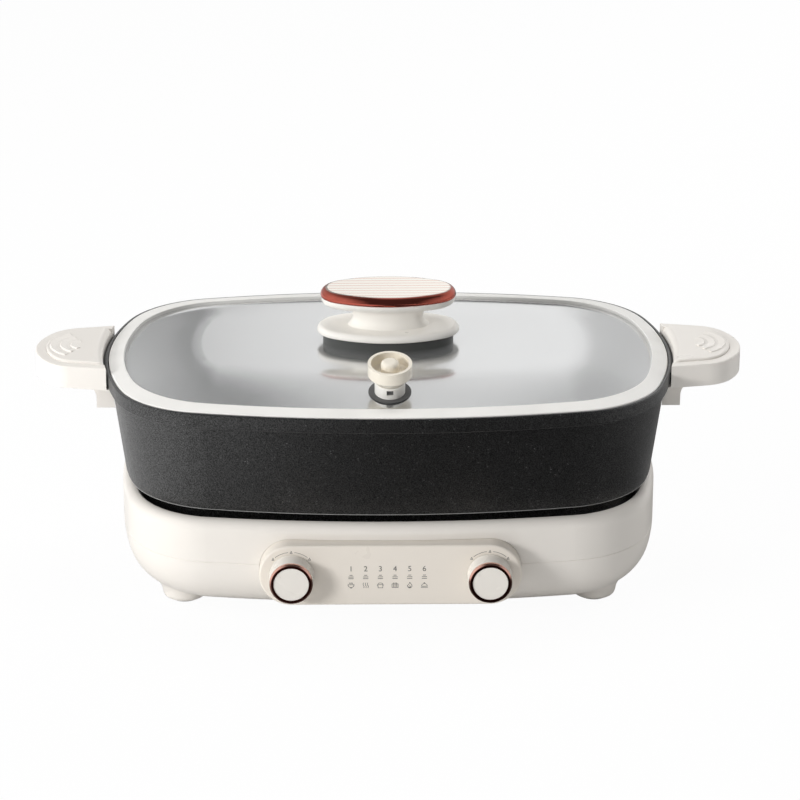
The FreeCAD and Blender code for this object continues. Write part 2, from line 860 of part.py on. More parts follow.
def make_lower_housing():
    """Tub with a rounded bottom edge, four feet, screw bosses, floor slots and windows."""
    body = new_body("lower_housing")
    depth = "parting_height - base_bottom_height"
    tub = outline(body, "tub_outline", "base", "no_grow", "base_bottom_height")
    pad(body, "tub", tub, depth)
    dress(
        body, "tub_bottom_round", "Fillet", "tub_radius",
        on_outline("base", "no_grow", "base_bottom_height"),
    )
    hollow = body.newObject("PartDesign::Thickness", "tub_hollow")
    base = body.Group[-2]
    top = max(range(len(base.Shape.Faces)), key=lambda k: base.Shape.Faces[k].CenterOfMass.z)
    hollow.Base = (base, [f"Face{top + 1}"])
    hollow.Reversed = True
    hollow.Join = 0
    bind(hollow, Value="base_wall")
    doc.recompute()
    dress(
        body, "parting_edge", "Chamfer", "parting_chamfer",
        on_outline("base", "no_grow", "parting_height"),
    )
    lip = outline(body, "lip_outline", "base", "lip_outer_grow", "parting_height - lip_height")
    pad(body, "lip", lip, "2 * lip_height")
    inner = outline(body, "lip_inner_outline", "base", "base_inner_grow", "parting_height - lip_height")
    cut(body, "lip_hollow", inner, "2 * lip_height")
    middle = "(foot_bottom_height + base_bottom_height) / 2"
    for index, place in enumerate(FEET):
        loft(body, f"foot_{index}", [
            circles(body, f"foot_{index}_{name}", "XY_Plane", height, radius, [place])
            for name, height, radius in (
                ("bottom", "foot_bottom_height", "foot_radius"),
                ("side", middle, "foot_radius"),
                ("flare", "base_bottom_height + foot_flare", "foot_radius + foot_flare * 0.7"),
            )
        ])
    dress(
        body, "foot_edges", "Fillet", "foot_round",
        lambda point: near(point.z, "foot_bottom_height"),
    )
    boss = circles(
        body, "boss_circles", "XY_Plane", "base_bottom_height + base_floor", "boss_radius",
        CASE_SCREWS,
    )
    pad(body, "bosses", boss, "boss_height - base_bottom_height - base_floor")
    seat = circles(
        body, "pad_seat_circles", "XY_Plane", "0", "foot_pad_radius + foot_pad_gap", FEET
    )
    cut(body, "pad_seats", seat, "foot_pad_thickness")
    bore = circles(
        body, "counterbore_circles", "XY_Plane", "0", "counterbore_radius", CASE_SCREWS
    )
    cut(body, "counterbores", bore, "counterbore_depth")
    hole = circles(
        body, "screw_hole_circles", "XY_Plane", "0", "screw_radius + screw_hole_gap",
        CASE_SCREWS,
    )
    cut(body, "screw_holes", hole, "boss_height + base_wall")
    slot = new_sketch(body, "vent_sketch", "XY_Plane", "0")
    half = "vent_length / 2"
    for index, side in enumerate(("-1", "1")):
        first = 4 * index
        x_low = f"{side} * vent_length - {half}"
        x_high = f"{side} * vent_length + {half} - vent_width"
        corners = box_corners(x_low, x_high, "0 - vent_width / 2", "vent_width / 2")
        points = [Vector(number(x), number(y), 0) for x, y in corners]
        for k in range(4):
            slot.addGeometry(Part.LineSegment(points[k], points[(k + 1) % 4]), False)
        for k in range(4):
            slot.addConstraint(
                Sketcher.Constraint("Coincident", first + k, END, first + (k + 1) % 4, START)
            )
        for k, (x, y) in enumerate(corners):
            pin_point(slot, first + k, START, x, y)
    bind(slot, **{"AttachmentOffset.Base.y": "0 - (vent_count - 1) / 2 * vent_pitch"})
    vent = cut(body, "vent", slot, "base_bottom_height + 2 * base_floor")
    row = body.newObject("PartDesign::LinearPattern", "vents")
    row.Originals = [vent]
    row.Direction = (slot, ["V_Axis"])
    bind(row, Length="(vent_count - 1) * vent_pitch", Occurrences="vent_count")
    body.Tip = row
    doc.recompute()
    cut_panel_window(body, "panel_back_reach")
    window = polygon(
        body,
        "inlet_window_sketch",
        "XZ_Plane",
        "0 - inlet_reach - inlet_depth",
        box_corners(
            "0 - inlet_half_length - inlet_gap",
            "inlet_half_length + inlet_gap",
            "inlet_height - inlet_half_height - inlet_gap",
            "inlet_height + inlet_half_height + inlet_gap",
        ),
    )
    cut(body, "inlet_window", window, "2 * inlet_depth")
    return body


def make_upper_housing():
    """Shell with a rounded shoulder, the rim round the well and the ledge inside it."""
    body = new_body("upper_housing")
    shell = outline(body, "shell_outline", "base", "no_grow", "parting_height")
    pad(body, "shell", shell, "base_rim_height - parting_height")
    dress(
        body, "shoulder", "Fillet", "shoulder_radius",
        on_outline("base", "no_grow", "base_rim_height"),
    )
    dress(
        body, "parting_edge_upper", "Chamfer", "parting_chamfer",
        on_outline("base", "no_grow", "parting_height"),
    )
    well = outline(body, "well_outline", "base", "well_grow", "ledge_height")
    cut(body, "well", well, "base_rim_height")
    dress(
        body, "rim_inner_round", "Fillet", "rim_round",
        on_outline("base", "well_grow", "base_rim_height"),
    )
    room = outline(body, "room_outline", "base", "base_inner_grow", "parting_height")
    cut(body, "room", room, "ledge_height - ledge_thickness - parting_height")
    rabbet = outline(body, "rabbet_outline", "base", "rabbet_grow", "parting_height")
    cut(body, "rabbet", rabbet, "lip_height + lip_clearance")
    opening = outline(body, "opening_outline", "base", "opening_grow", "parting_height")
    cut(body, "opening", opening, "base_rim_height")
    boss = circles(
        body, "upper_boss_circles", "XY_Plane", "boss_height", "upper_boss_radius",
        CASE_SCREWS,
    )
    pad(body, "upper_bosses", boss, "ledge_height - ledge_thickness / 2 - boss_height")
    pilot = circles(
        body, "pilot_circles", "XY_Plane", "boss_height", "screw_radius", CASE_SCREWS
    )
    cut(body, "pilots", pilot, "screw_grip + 1")
    pan_boss = circles(
        body, "pan_boss_circles", "XY_Plane", "ledge_height - pan_boss_depth",
        "pan_boss_radius", PAN_SCREWS,
    )
    pad(body, "pan_bosses", pan_boss, "pan_boss_depth - ledge_thickness / 2")
    pan_pilot = circles(
        body, "pan_pilot_circles", "XY_Plane", "ledge_height - small_screw_grip - 1",
        "small_screw_radius", PAN_SCREWS,
    )
    cut(body, "pan_pilots", pan_pilot, "small_screw_grip + base_wall")
    cut_panel_window(body, "panel_window_reach")
    return body


PAN_SCREWS = [
    ("0", "base_half_width - pan_screw_inset"),
    ("0", "0 - base_half_width + pan_screw_inset"),
    ("base_half_length - pan_screw_inset", "0"),
    ("0 - base_half_length + pan_screw_inset", "0"),
]


def make_foot_pads():
    pads = [
        cylinder(f"foot_pad_{k}", "foot_pad_radius", "foot_pad_thickness", x, y)
        for k, (x, y) in enumerate(FEET)
    ]
    return group("foot_pads", pads)


def make_housing_screws():
    places = [(x, y, "counterbore_depth") for x, y in CASE_SCREWS]
    return screws(
        "housing_screws", places, "screw_radius",
        "boss_height - counterbore_depth + screw_grip",
        "screw_head_radius", "screw_head_height", False,
    )


# ---------------------------------------------------------------- heating


def make_heat_shield():
    """Pressed pan: a flange on the ledge and a flat-bottomed bowl under the plate."""
    body = new_body("heat_shield")
    bowl = outline(body, "bowl_outline", "base", "pan_bowl_grow", "pan_bottom_height")
    pad(body, "bowl", bowl, "pan_depth + pan_sheet")
    flange = outline(body, "flange_outline", "base", "pan_outer_grow", "ledge_height")
    pad(body, "flange", flange, "pan_sheet")
    inner = outline(body, "bowl_inner_outline", "base", "pan_inner_grow", "pan_floor_height")
    cut(body, "bowl_hollow", inner, "pan_depth + pan_sheet")
    holes = circles(
        body, "pan_screw_hole_circles", "XY_Plane", "ledge_height",
        "small_screw_radius", PAN_SCREWS,
    )
    cut(body, "pan_screw_holes", holes, "2 * pan_sheet")
    plate_holes = circles(
        body, "plate_screw_hole_circles", "XY_Plane", "pan_bottom_height",
        "small_screw_radius", STANDOFFS,
    )
    cut(body, "plate_screw_holes", plate_holes, "2 * pan_sheet")
    centre = circles(
        body, "collar_hole_circle", "XY_Plane", "pan_bottom_height",
        "collar_radius + collar_gap", [("0", "0")],
    )
    cut(body, "collar_hole", centre, "2 * pan_sheet")
    terminal_holes = circles(
        body, "terminal_hole_circles", "XY_Plane", "pan_bottom_height",
        "terminal_hole_radius", TERMINALS,
    )
    cut(body, "terminal_holes", terminal_holes, "2 * pan_sheet")
    return body


TERMINALS = [
    ("terminal_radius - element_end_gap / 2", "element_half_width"),
    ("element_end_gap / 2 - terminal_radius", "element_half_width"),
]


def make_heating_plate():
    """Cast plate with a hole for the thermostat and a groove for the element."""
    body = new_body("heating_plate")
    plate = outline(body, "plate_outline", "base", "plate_grow", "plate_bottom_height")
    pad(body, "plate", plate, "plate_thickness")
    dress(
        body, "plate_edge", "Fillet", "plate_edge_round",
        on_outline("base", "plate_grow", "seat_height"),
    )
    hole = circles(
        body, "probe_hole_circle", "XY_Plane", "plate_bottom_height",
        "probe_radius + probe_gap", [("0", "0")],
    )
    cut(body, "probe_hole", hole, "2 * plate_thickness")
    threads = circles(
        body, "plate_thread_circles", "XY_Plane", "plate_bottom_height",
        "small_screw_radius", STANDOFFS,
    )
    cut(body, "plate_threads", threads, "small_screw_grip + 1")
    return body


def make_standoffs():
    made = []
    for index, (x, y) in enumerate(STANDOFFS):
        post = cylinder(
            f"standoff_{index}", "standoff_radius", "standoff_height", x, y, "pan_floor_height"
        )
        hole = cylinder(
            f"standoff_hole_{index}", "small_screw_radius", "standoff_height",
            x, y, "pan_floor_height",
        )
        made.append(subtract(f"standoff_tube_{index}", post, hole))
    return group("plate_standoffs", made)


def make_plate_screws():
    places = [(x, y, "pan_bottom_height") for x, y in STANDOFFS]
    return screws(
        "plate_screws", places, "small_screw_radius",
        "pan_sheet + standoff_height + small_screw_grip",
        "small_head_radius", "small_head_height", False,
    )


def make_pan_screws():
    places = [(x, y, "ledge_height + pan_sheet") for x, y in PAN_SCREWS]
    return screws(
        "heat_shield_screws", places, "small_screw_radius", "pan_sheet + small_screw_grip",
        "small_head_radius", "small_head_height", True,
    )


def make_heating_element():
    """Tube bent to an open racetrack under the plate, with its two ends at the back."""
    body = new_body("heating_element")
    path = new_sketch(body, "element_path", "XY_Plane", "element_height")
    run = number("element_half_length - element_half_width")
    width = number("element_half_width")
    gap = number("element_end_gap / 2")
    quarter = math.pi / 2
    path.addGeometry(Part.LineSegment(Vector(-gap, width, 0), Vector(-run, width, 0)), False)
    path.addGeometry(arc(-run, 0, width, quarter, 3 * quarter), False)
    path.addGeometry(Part.LineSegment(Vector(-run, -width, 0), Vector(run, -width, 0)), False)
    path.addGeometry(arc(run, 0, width, -quarter, quarter), False)
    path.addGeometry(Part.LineSegment(Vector(run, width, 0), Vector(gap, width, 0)), False)
    for index in range(4):
        path.addConstraint(Sketcher.Constraint("Tangent", index, END, index + 1, START))
    pin_point(path, 1, CENTRE, "0 - element_half_length + element_half_width", "0")
    pin_point(path, 3, CENTRE, "element_half_length - element_half_width", "0")
    pin_point(path, 0, START, "0 - element_end_gap / 2", "element_half_width")
    pin_coordinate(path, "DistanceX", "element_end_gap / 2", 4, END)
    section = circles(
        body, "element_section", "YZ_Plane", "0 - element_end_gap / 2",
        "element_tube_radius", [("element_half_width", "element_height")],
    )
    doc.recompute()
    tube = body.newObject("PartDesign::AdditivePipe", "element_tube")
    tube.Profile = section
    tube.Spine = (path, [f"Edge{k}" for k in range(1, 6)])
    doc.recompute()
    return body


def make_terminals():
    pins = [
        cylinder(
            f"terminal_{k}", "terminal_radius", "terminal_length",
            x, y, "element_height - terminal_length",
        )
        for k, (x, y) in enumerate(TERMINALS)
    ]
    return group("element_terminals", pins)


# ---------------------------------------------------------------- thermostat


def make_thermostat_cap():
    """Thin cup that the pot's bottom presses on."""
    body = new_body("thermostat_cap")
    section = polygon(body, "cap_section", "XZ_Plane", "0", [
        ("0", "probe_inside_height"),
        ("probe_radius - probe_skin", "probe_inside_height"),
        ("probe_radius - probe_skin", "probe_top_height - probe_depth"),
        ("probe_radius", "probe_top_height - probe_depth"),
        ("probe_radius", "probe_top_height"),
        ("0", "probe_top_height"),
    ])
    spin(body, "cap_turn", section)
    dress(
        body, "cap_edge", "Fillet", "probe_skin * 0.8",
        lambda point: near(point.z, "probe_top_height") and point.x**2 + point.y**2 > 1,
    )
    return body


def make_thermostat():
    stem = cylinder(
        "thermostat_stem", "stem_radius", "stem_length",
        "0", "0", "probe_inside_height - stem_length",
    )
    stem.Label = "thermostat_stem"
    guide = new_body("thermostat_guide")
    section = polygon(guide, "guide_section", "XZ_Plane", "0", [
        ("stem_radius + stem_fit", "pan_floor_height - collar_depth"),
        ("collar_radius", "pan_floor_height - collar_depth"),
        ("collar_radius", "pan_floor_height"),
        ("guide_radius", "pan_floor_height"),
        ("guide_radius", "guide_top_height"),
        ("stem_radius + stem_fit", "guide_top_height"),
    ])
    spin(guide, "guide_turn", section)
    clip_top = "pan_floor_height - collar_depth - clip_drop"
    outer = cylinder(
        "clip_disc", "clip_radius", "clip_thickness", "0", "0", f"{clip_top} - clip_thickness"
    )
    inner = cylinder(
        "clip_hole", "stem_radius", "clip_thickness", "0", "0", f"{clip_top} - clip_thickness"
    )
    clip = subtract("thermostat_clip", outer, inner)
    clip.Label = "thermostat_clip"
    return [stem, guide, clip, make_spring()]


def make_spring():
    """Open coil between the guide and the inside of the cap."""
    body = new_body("thermostat_spring")
    section = circles(
        body, "spring_section", "XZ_Plane", "0", "spring_wire_radius",
        [("spring_radius", "guide_top_height + spring_wire_radius")],
    )
    coil = body.newObject("PartDesign::AdditiveHelix", "spring_coil")
    coil.Profile = section
    coil.ReferenceAxis = (section, ["V_Axis"])
    coil.Mode = "height-turns-growth"
    rise = "probe_inside_height - guide_top_height - 2 * spring_wire_radius"
    bind(coil, Height=rise, Turns="spring_turns")
    doc.recompute()
    return body


# ---------------------------------------------------------------- control panel


def make_control_panel():
    """Raised racetrack moulding, open at the back, notched to clear the ledge of the well."""
    body = new_body("control_panel")
    outer = stadium(
        body, "panel_outline", "XZ_Plane", "panel_back_reach",
        "panel_centre_half", "panel_radius", "panel_height",
    )
    pad(body, "panel_block", outer, "panel_depth")
    dress(
        body, "panel_edge", "Fillet", "panel_edge_round",
        lambda point: near(point.y, "0 - panel_face_reach"),
    )
    inner = stadium(
        body, "panel_inner_outline", "XZ_Plane", "panel_back_reach",
        "panel_centre_half", "panel_radius - panel_wall", "panel_height",
    )
    cut(body, "panel_hollow", inner, "panel_depth - panel_face_wall")
    holes = circles(
        body, "bush_hole_circles", "XZ_Plane", "panel_back_reach", "bush_radius + bush_gap",
        [(f"{side} * knob_half_spacing", "panel_height") for side in (-1, 1)],
    )
    cut(body, "bush_holes", holes, "2 * panel_depth")
    notch = polygon(
        body, "panel_notch_sketch", "XZ_Plane", "panel_back_reach",
        box_corners(
            "0 - panel_half_length", "panel_half_length",
            "panel_notch_height", "panel_height + panel_radius",
        ),
    )
    cut(body, "panel_notch", notch, "panel_window_reach + panel_gap - panel_back_reach")
    return body


def make_switch(side, word):
    """Rotary switch: body with blade terminals, and a threaded bush round the shaft."""
    centre_x = f"{side} * knob_half_spacing"
    bottom = "panel_height - switch_height / 2"
    case = block(
        f"{word}_case", "switch_length", "switch_depth", "switch_height",
        centre_x, "0 - switch_face_reach + switch_depth / 2", bottom,
    )
    bush = cylinder(
        f"{word}_bush", "bush_radius", "panel_face_wall + bush_reach",
        centre_x, "0 - switch_face_reach", "panel_height", TO_FRONT,
    )
    bore = cylinder(
        f"{word}_bore", "shaft_radius + shaft_fit",
        "panel_face_wall + bush_reach + switch_depth / 2",
        centre_x, "0 - switch_face_reach + switch_depth / 2", "panel_height", TO_FRONT,
    )
    blades = [
        block(
            f"{word}_blade_{k}", "blade_width", "blade_length", "blade_thickness",
            f"{centre_x} + {k} * switch_length / 3",
            "0 - switch_face_reach + switch_depth + blade_length / 2", "panel_height",
        )
        for k in (-1, 0, 1)
    ]
    whole = fuse(f"{word}_switch_solid", [case, bush] + blades)
    switch = subtract(f"{word}_switch", whole, bore)
    switch.Label = f"{word}_switch"
    return switch


def make_switch_nuts():
    nuts = []
    for k, side in enumerate((-1, 1)):
        hexagon = doc.addObject("Part::Prism", f"nut_{k}")
        hexagon.Polygon = 6
        bind(hexagon, Circumradius="nut_radius", Height="nut_thickness")
        hexagon.Placement = Placement(Vector(), TO_FRONT)
        place = (f"{side} * knob_half_spacing", "0 - panel_face_reach", "panel_height")
        put(hexagon, *place)
        hole = cylinder(f"nut_hole_{k}", "bush_radius", "nut_thickness", *place, TO_FRONT)
        nuts.append(subtract(f"nut_ring_{k}", hexagon, hole))
    return group("switch_nuts", nuts)


def knob_piece(word, side, name, corners):
    """A turned piece whose section is drawn as distance in front of the panel and radius."""
    body = new_body(f"{word}_knob_{name}")
    section = polygon(body, f"{body.Label}_section", "YZ_Plane", "0", [
        (f"0 - ({reach})", radius) for reach, radius in corners
    ])
    spin(body, f"{body.Label}_turn", section, "H_Axis")
    put(body, f"{side} * knob_half_spacing", "0", "panel_height")
    return body


def make_knob(side, word):
    """Skirt with a hub, metal ring, cap with a pointer dimple and the switch's shaft."""
    back = "knob_back_reach"
    front = f"{back} + knob_length - ring_length"
    web = f"{front} - knob_wall"
    hub_start = "panel_face_reach + bush_reach + knob_gap"
    skirt = knob_piece(word, side, "skirt", [
        (back, "knob_foot_radius - knob_wall"),
        (back, "knob_foot_radius"),
        (front, "knob_radius"),
        (front, "shaft_radius"),
        (hub_start, "shaft_radius"),
        (hub_start, "hub_radius"),
        (web, "hub_radius"),
        (web, "knob_radius - knob_wall"),
    ])
    inner = "knob_radius - ring_width"
    ring = knob_piece(word, side, "ring", [
        (front, inner),
        (front, "knob_radius"),
        (f"{back} + knob_length - ring_bevel", "knob_radius"),
        (f"{back} + knob_length", "knob_radius - ring_bevel"),
        (f"{back} + knob_length", inner),
    ])
    cap_front = f"{back} + knob_length - cap_set_back"
    cap = knob_piece(word, side, "cap", [
        (front, "0"),
        (front, inner),
        (cap_front, inner),
        (cap_front, "0"),
    ])
    dimple = circles(
        cap, f"{word}_pointer_circle", "XZ_Plane", cap_front, "pointer_radius",
        [(
            "0 - pointer_reach * sin(knob_rest_angle)",
            "pointer_reach * cos(knob_rest_angle)",
        )],
    )
    cut(cap, f"{word}_pointer", dimple, "pointer_depth", along=False)
    shaft_back = "switch_face_reach - switch_depth / 2 + shaft_fit"
    shaft = new_body(f"{word}_knob_shaft")
    rod = circles(
        shaft, f"{word}_shaft_circle", "XZ_Plane", shaft_back, "shaft_radius", [("0", "0")]
    )
    pad(shaft, f"{word}_shaft_rod", rod, f"{front} - ({shaft_back})")
    put(shaft, f"{side} * knob_half_spacing", "0", "panel_height")
    return [skirt, ring, cap, shaft]


# ---------------------------------------------------------------- appliance inlet


def make_inlet():
    """Shrouded socket with a rectangular mouth, set in the back of the lower shell."""
    body = new_body("appliance_inlet")
    frame = polygon(
        body, "inlet_outline", "XZ_Plane", "0 - inlet_reach",
        box_corners(
            "0 - inlet_half_length", "inlet_half_length",
            "inlet_height - inlet_half_height", "inlet_height + inlet_half_height",
        ),
    )
    pad(body, "inlet_block", frame, "inlet_depth")
    dress(
        body, "inlet_corners", "Fillet", "inlet_corner",
        lambda point: near(abs(point.x), "inlet_half_length")
        and near(abs(point.z - number("inlet_height")), "inlet_half_height"),
    )
    mouth = polygon(
        body, "socket_outline", "XZ_Plane", "0 - inlet_reach",
        box_corners(
            "0 - socket_half_length", "socket_half_length",
            "inlet_height - socket_half_height", "inlet_height + socket_half_height",
        ),
    )
    cut(body, "socket", mouth, "socket_depth")
    dress(
        body, "socket_corners", "Fillet", "socket_corner",
        lambda point: near(abs(point.x), "socket_half_length")
        and near(abs(point.z - number("inlet_height")), "socket_half_height"),
    )
    slots = new_sketch(body, "pin_slots_sketch", "XZ_Plane", "0 - inlet_reach + socket_depth")
    for index, (x, z) in enumerate(PINS):
        first = 4 * index
        corners = box_corners(
            f"{x} - pin_width / 2", f"{x} + pin_width / 2",
            f"{z} - pin_height / 2", f"{z} + pin_height / 2",
        )
        points = [Vector(number(a), number(b), 0) for a, b in corners]
        for k in range(4):
            slots.addGeometry(Part.LineSegment(points[k], points[(k + 1) % 4]), False)
        for k in range(4):
            slots.addConstraint(
                Sketcher.Constraint("Coincident", first + k, END, first + (k + 1) % 4, START)
            )
        for k, (a, b) in enumerate(corners):
            pin_point(slots, first + k, START, a, b)
    cut(body, "pin_slots", slots, "inlet_depth")
    return body


PINS = [
    ("0 - pin_spacing / 2", "inlet_height - pin_offset"),
    ("pin_spacing / 2", "inlet_height - pin_offset"),
    ("0", "inlet_height + pin_offset"),
]


def make_inlet_pins():
    """Three flat pins that run through the floor of the socket."""
    length = "pin_length + inlet_depth - socket_depth + pin_tail"
    middle = "inlet_reach - socket_depth + pin_length"
    pins = [
        block(
            f"inlet_pin_{k}", "pin_width", length, "pin_height",
            x, f"{middle} - ({length}) / 2", f"{z} - pin_height / 2",
        )
        for k, (x, z) in enumerate(PINS)
    ]
    return group("inlet_pins", pins)


# ---------------------------------------------------------------- pot


def make_cavity():
    """The room inside the pot, with a rounded edge where its wall meets its floor."""
    body = new_body("pot_cavity")
    loft(body, "cavity_wall", [
        outline(body, "cavity_low_outline", "pot", "cavity_low_grow", "cavity_bottom_height"),
        outline(body, "cavity_high_outline", "pot", "cavity_grow", "lid_seat_height"),
    ], ruled=True)
    dress(
        body, "cavity_floor_round", "Fillet", "cavity_round",
        on_outline("pot", "cavity_low_grow", "cavity_bottom_height"),
    )
    return body


def make_pot():
    """Cast pot: tapered wall, rim band with a seat for the lid, ears and a flat foot."""
    body = new_body("pot")
    plinth = outline(body, "plinth_outline", "pot", "plinth_grow", "seat_height")
    pad(body, "plinth", plinth, "chamfer_bottom_height - seat_height")
    loft(body, "bottom_edge", [
        outline(body, "edge_low_outline", "pot", "plinth_grow", "chamfer_bottom_height"),
        outline(body, "edge_high_outline", "pot", "wall_low_grow", "pot_edge_height"),
    ], ruled=True)
    loft(body, "wall", [
        outline(body, "wall_low_outline", "pot", "wall_low_grow", "pot_edge_height"),
        outline(body, "wall_high_outline", "pot", "wall_top_grow", "band_bottom_height"),
    ], ruled=True)
    band = outline(body, "band_outline", "pot_rim", "no_grow", "band_bottom_height")
    pad(body, "rim_band", band, "rim_band_height")
    dress(
        body, "band_top_round", "Fillet", "rim_band_round",
        on_outline("pot_rim", "no_grow", "pot_rim_height"),
    )
    dress(
        body, "band_bottom_round", "Fillet", "rim_band_round",
        on_outline("pot_rim", "no_grow", "band_bottom_height"),
    )
    lugs = new_sketch(body, "lug_sketch", "XY_Plane", "lug_top_height - lug_thickness")
    lug_corners = box_corners(
        "0 - lug_reach", "lug_reach", "0 - lug_half_width", "lug_half_width"
    )
    points = [Vector(number(x), number(y), 0) for x, y in lug_corners]
    for k in range(4):
        lugs.addGeometry(Part.LineSegment(points[k], points[(k + 1) % 4]), False)
    for k in range(4):
        lugs.addConstraint(Sketcher.Constraint("Coincident", k, END, (k + 1) % 4, START))
    for k, (x, y) in enumerate(lug_corners):
        pin_point(lugs, k, START, x, y)
    pad(body, "lugs", lugs, "lug_thickness")
    threads = circles(
        body, "lug_thread_circles", "XY_Plane", "lug_top_height - lug_thickness",
        "handle_screw_radius", [
            (f"{i} * handle_screw_reach", f"{j} * handle_screw_spacing / 2")
            for i in (-1, 1)
            for j in (-1, 1)
        ],
    )
    cut(body, "lug_threads", threads, "2 * lug_thickness")
    seat = outline(body, "lid_seat_outline", "pot_rim", "rim_inner_grow", "lid_seat_height")
    cut(body, "lid_seat", seat, "pot_rim_height")
    hollow = body.newObject("PartDesign::Boolean", "pot_hollow")
    hollow.Type = "Cut"
    hollow.setObjects([make_cavity()])
    doc.recompute()
    return body


HALF_TURN = Rotation(Vector(0, 0, 1), 180)


def turned(body, word):
    """Put the left-hand piece half a turn round the pot's axis."""
    if word == "left":
        body.Placement = Placement(Vector(), HALF_TURN)
    return body


def handle_plan(body, name, inset, height):
    """Plan of a grip: straight flanks that close in towards a rounded outer end."""
    sketch = new_sketch(body, name, "XY_Plane", height)
    reach = number(f"handle_reach - {inset}")
    end_radius = number(f"handle_end_radius - {inset}")
    corner_radius = number(f"handle_corner_radius - {inset}")
    root_x = number("handle_root_reach")
    root_y = number(f"handle_root_half_width - {inset}")
    tip_y = number(f"handle_end_half_width - {inset}")
    corner_x = reach - corner_radius - (end_radius - math.sqrt(end_radius**2 - tip_y**2)) / 2
    corner_y = tip_y - corner_radius * 0.4
    end_x = reach - end_radius
    corner_turn = math.radians(75)
    end_turn = math.atan2(corner_y, corner_x - end_x)
    flank = Vector(
        corner_x + corner_radius * math.cos(corner_turn),
        corner_y + corner_radius * math.sin(corner_turn), 0,
    )
    sketch.addGeometry(arc(end_x, 0, end_radius, -end_turn, end_turn), False)
    sketch.addGeometry(arc(corner_x, corner_y, corner_radius, end_turn, corner_turn), False)
    sketch.addGeometry(Part.LineSegment(flank, Vector(root_x, root_y, 0)), False)
    sketch.addGeometry(
        Part.LineSegment(Vector(root_x, root_y, 0), Vector(root_x, -root_y, 0)), False
    )
    low = Vector(flank.x, -flank.y, 0)
    sketch.addGeometry(Part.LineSegment(Vector(root_x, -root_y, 0), low), False)
    sketch.addGeometry(
        arc(corner_x, -corner_y, corner_radius, -corner_turn, -end_turn), False
    )
    for first, following in ((0, 1), (1, 2), (4, 5), (5, 0)):
        sketch.addConstraint(Sketcher.Constraint("Tangent", first, END, following, START))
    for first, following in ((2, 3), (3, 4)):
        sketch.addConstraint(Sketcher.Constraint("Coincident", first, END, following, START))
    pin(sketch, f"handle_end_radius - {inset}", "Radius", 0)
    pin(sketch, f"handle_corner_radius - {inset}", "Radius", 1)
    pin(sketch, f"handle_corner_radius - {inset}", "Radius", 5)
    pin_point(sketch, 0, CENTRE, f"handle_reach - handle_end_radius", "0")
    pin_point(sketch, 2, END, "handle_root_reach", f"handle_root_half_width - {inset}")
    pin_point(sketch, 4, START, "handle_root_reach", f"0 - handle_root_half_width + {inset}")
    pin_coordinate(sketch, "DistanceY", f"handle_end_half_width - {inset}", 2, START)
    pin_coordinate(sketch, "DistanceY", f"0 - handle_end_half_width + {inset}", 4, END)
    return sketch


def make_handle_grip(word):
    """Grip and wall bracket in one moulding, seated over the pot's ear."""
    body = new_body(f"{word}_handle_grip")
    plan = handle_plan(body, f"{word}_grip_plan", "0", "handle_bottom_height")
    pad(body, f"{word}_grip_block", plan, "handle_thickness")
    bracket = polygon(
        body, f"{word}_bracket_sketch", "XY_Plane", "bracket_bottom_height",
        box_corners(
            "handle_root_reach - bracket_blend", "bracket_reach",
            "0 - bracket_half_width", "bracket_half_width",
        ),
    )
    pad(body, f"{word}_bracket", bracket, "handle_top_height - bracket_bottom_height - lug_top_drop")
    dress(
        body, f"{word}_bracket_blend", "Fillet", "bracket_blend",
        lambda point: near(point.z, "handle_bottom_height")
        and near(point.x, "bracket_reach"),
    )
    dress(
        body, f"{word}_grip_top_round", "Fillet", "handle_top_round",
        lambda point: near(point.z, "handle_top_height") and point.x > number("bracket_reach"),
    )
    loft(body, f"{word}_wall_relief", [
        outline(body, f"{word}_relief_low", "pot", "bracket_low_grow", "bracket_bottom_height"),
        outline(body, f"{word}_relief_high", "pot", "bracket_top_grow", "band_bottom_height"),
    ], ruled=True, take_away=True)
    face = outline(body, f"{word}_rim_relief", "pot_rim", "handle_gap", "band_bottom_height")
    cut(body, f"{word}_rim_face", face, "handle_top_height")
    recess = handle_plan(body, f"{word}_recess_plan", "cover_margin", "cover_seat_height")
    cut(body, f"{word}_recess", recess, "handle_top_height")
    slot = polygon(
        body, f"{word}_lug_slot_sketch", "XY_Plane",
        "lug_top_height - lug_thickness - lug_gap",
        box_corners(
            "handle_root_reach - bracket_blend", "lug_reach + lug_gap",
            "0 - lug_half_width - lug_gap", "lug_half_width + lug_gap",
        ),
    )
    cut(body, f"{word}_lug_slot", slot, "lug_thickness + lug_gap")
    holes = circles(
        body, f"{word}_grip_hole_circles", "XY_Plane", "lug_top_height",
        "handle_screw_radius + screw_hole_gap",
        [("handle_screw_reach", f"{j} * handle_screw_spacing / 2") for j in (-1, 1)],
    )
    cut(body, f"{word}_grip_holes", holes, "handle_top_height")
    return turned(body, word)


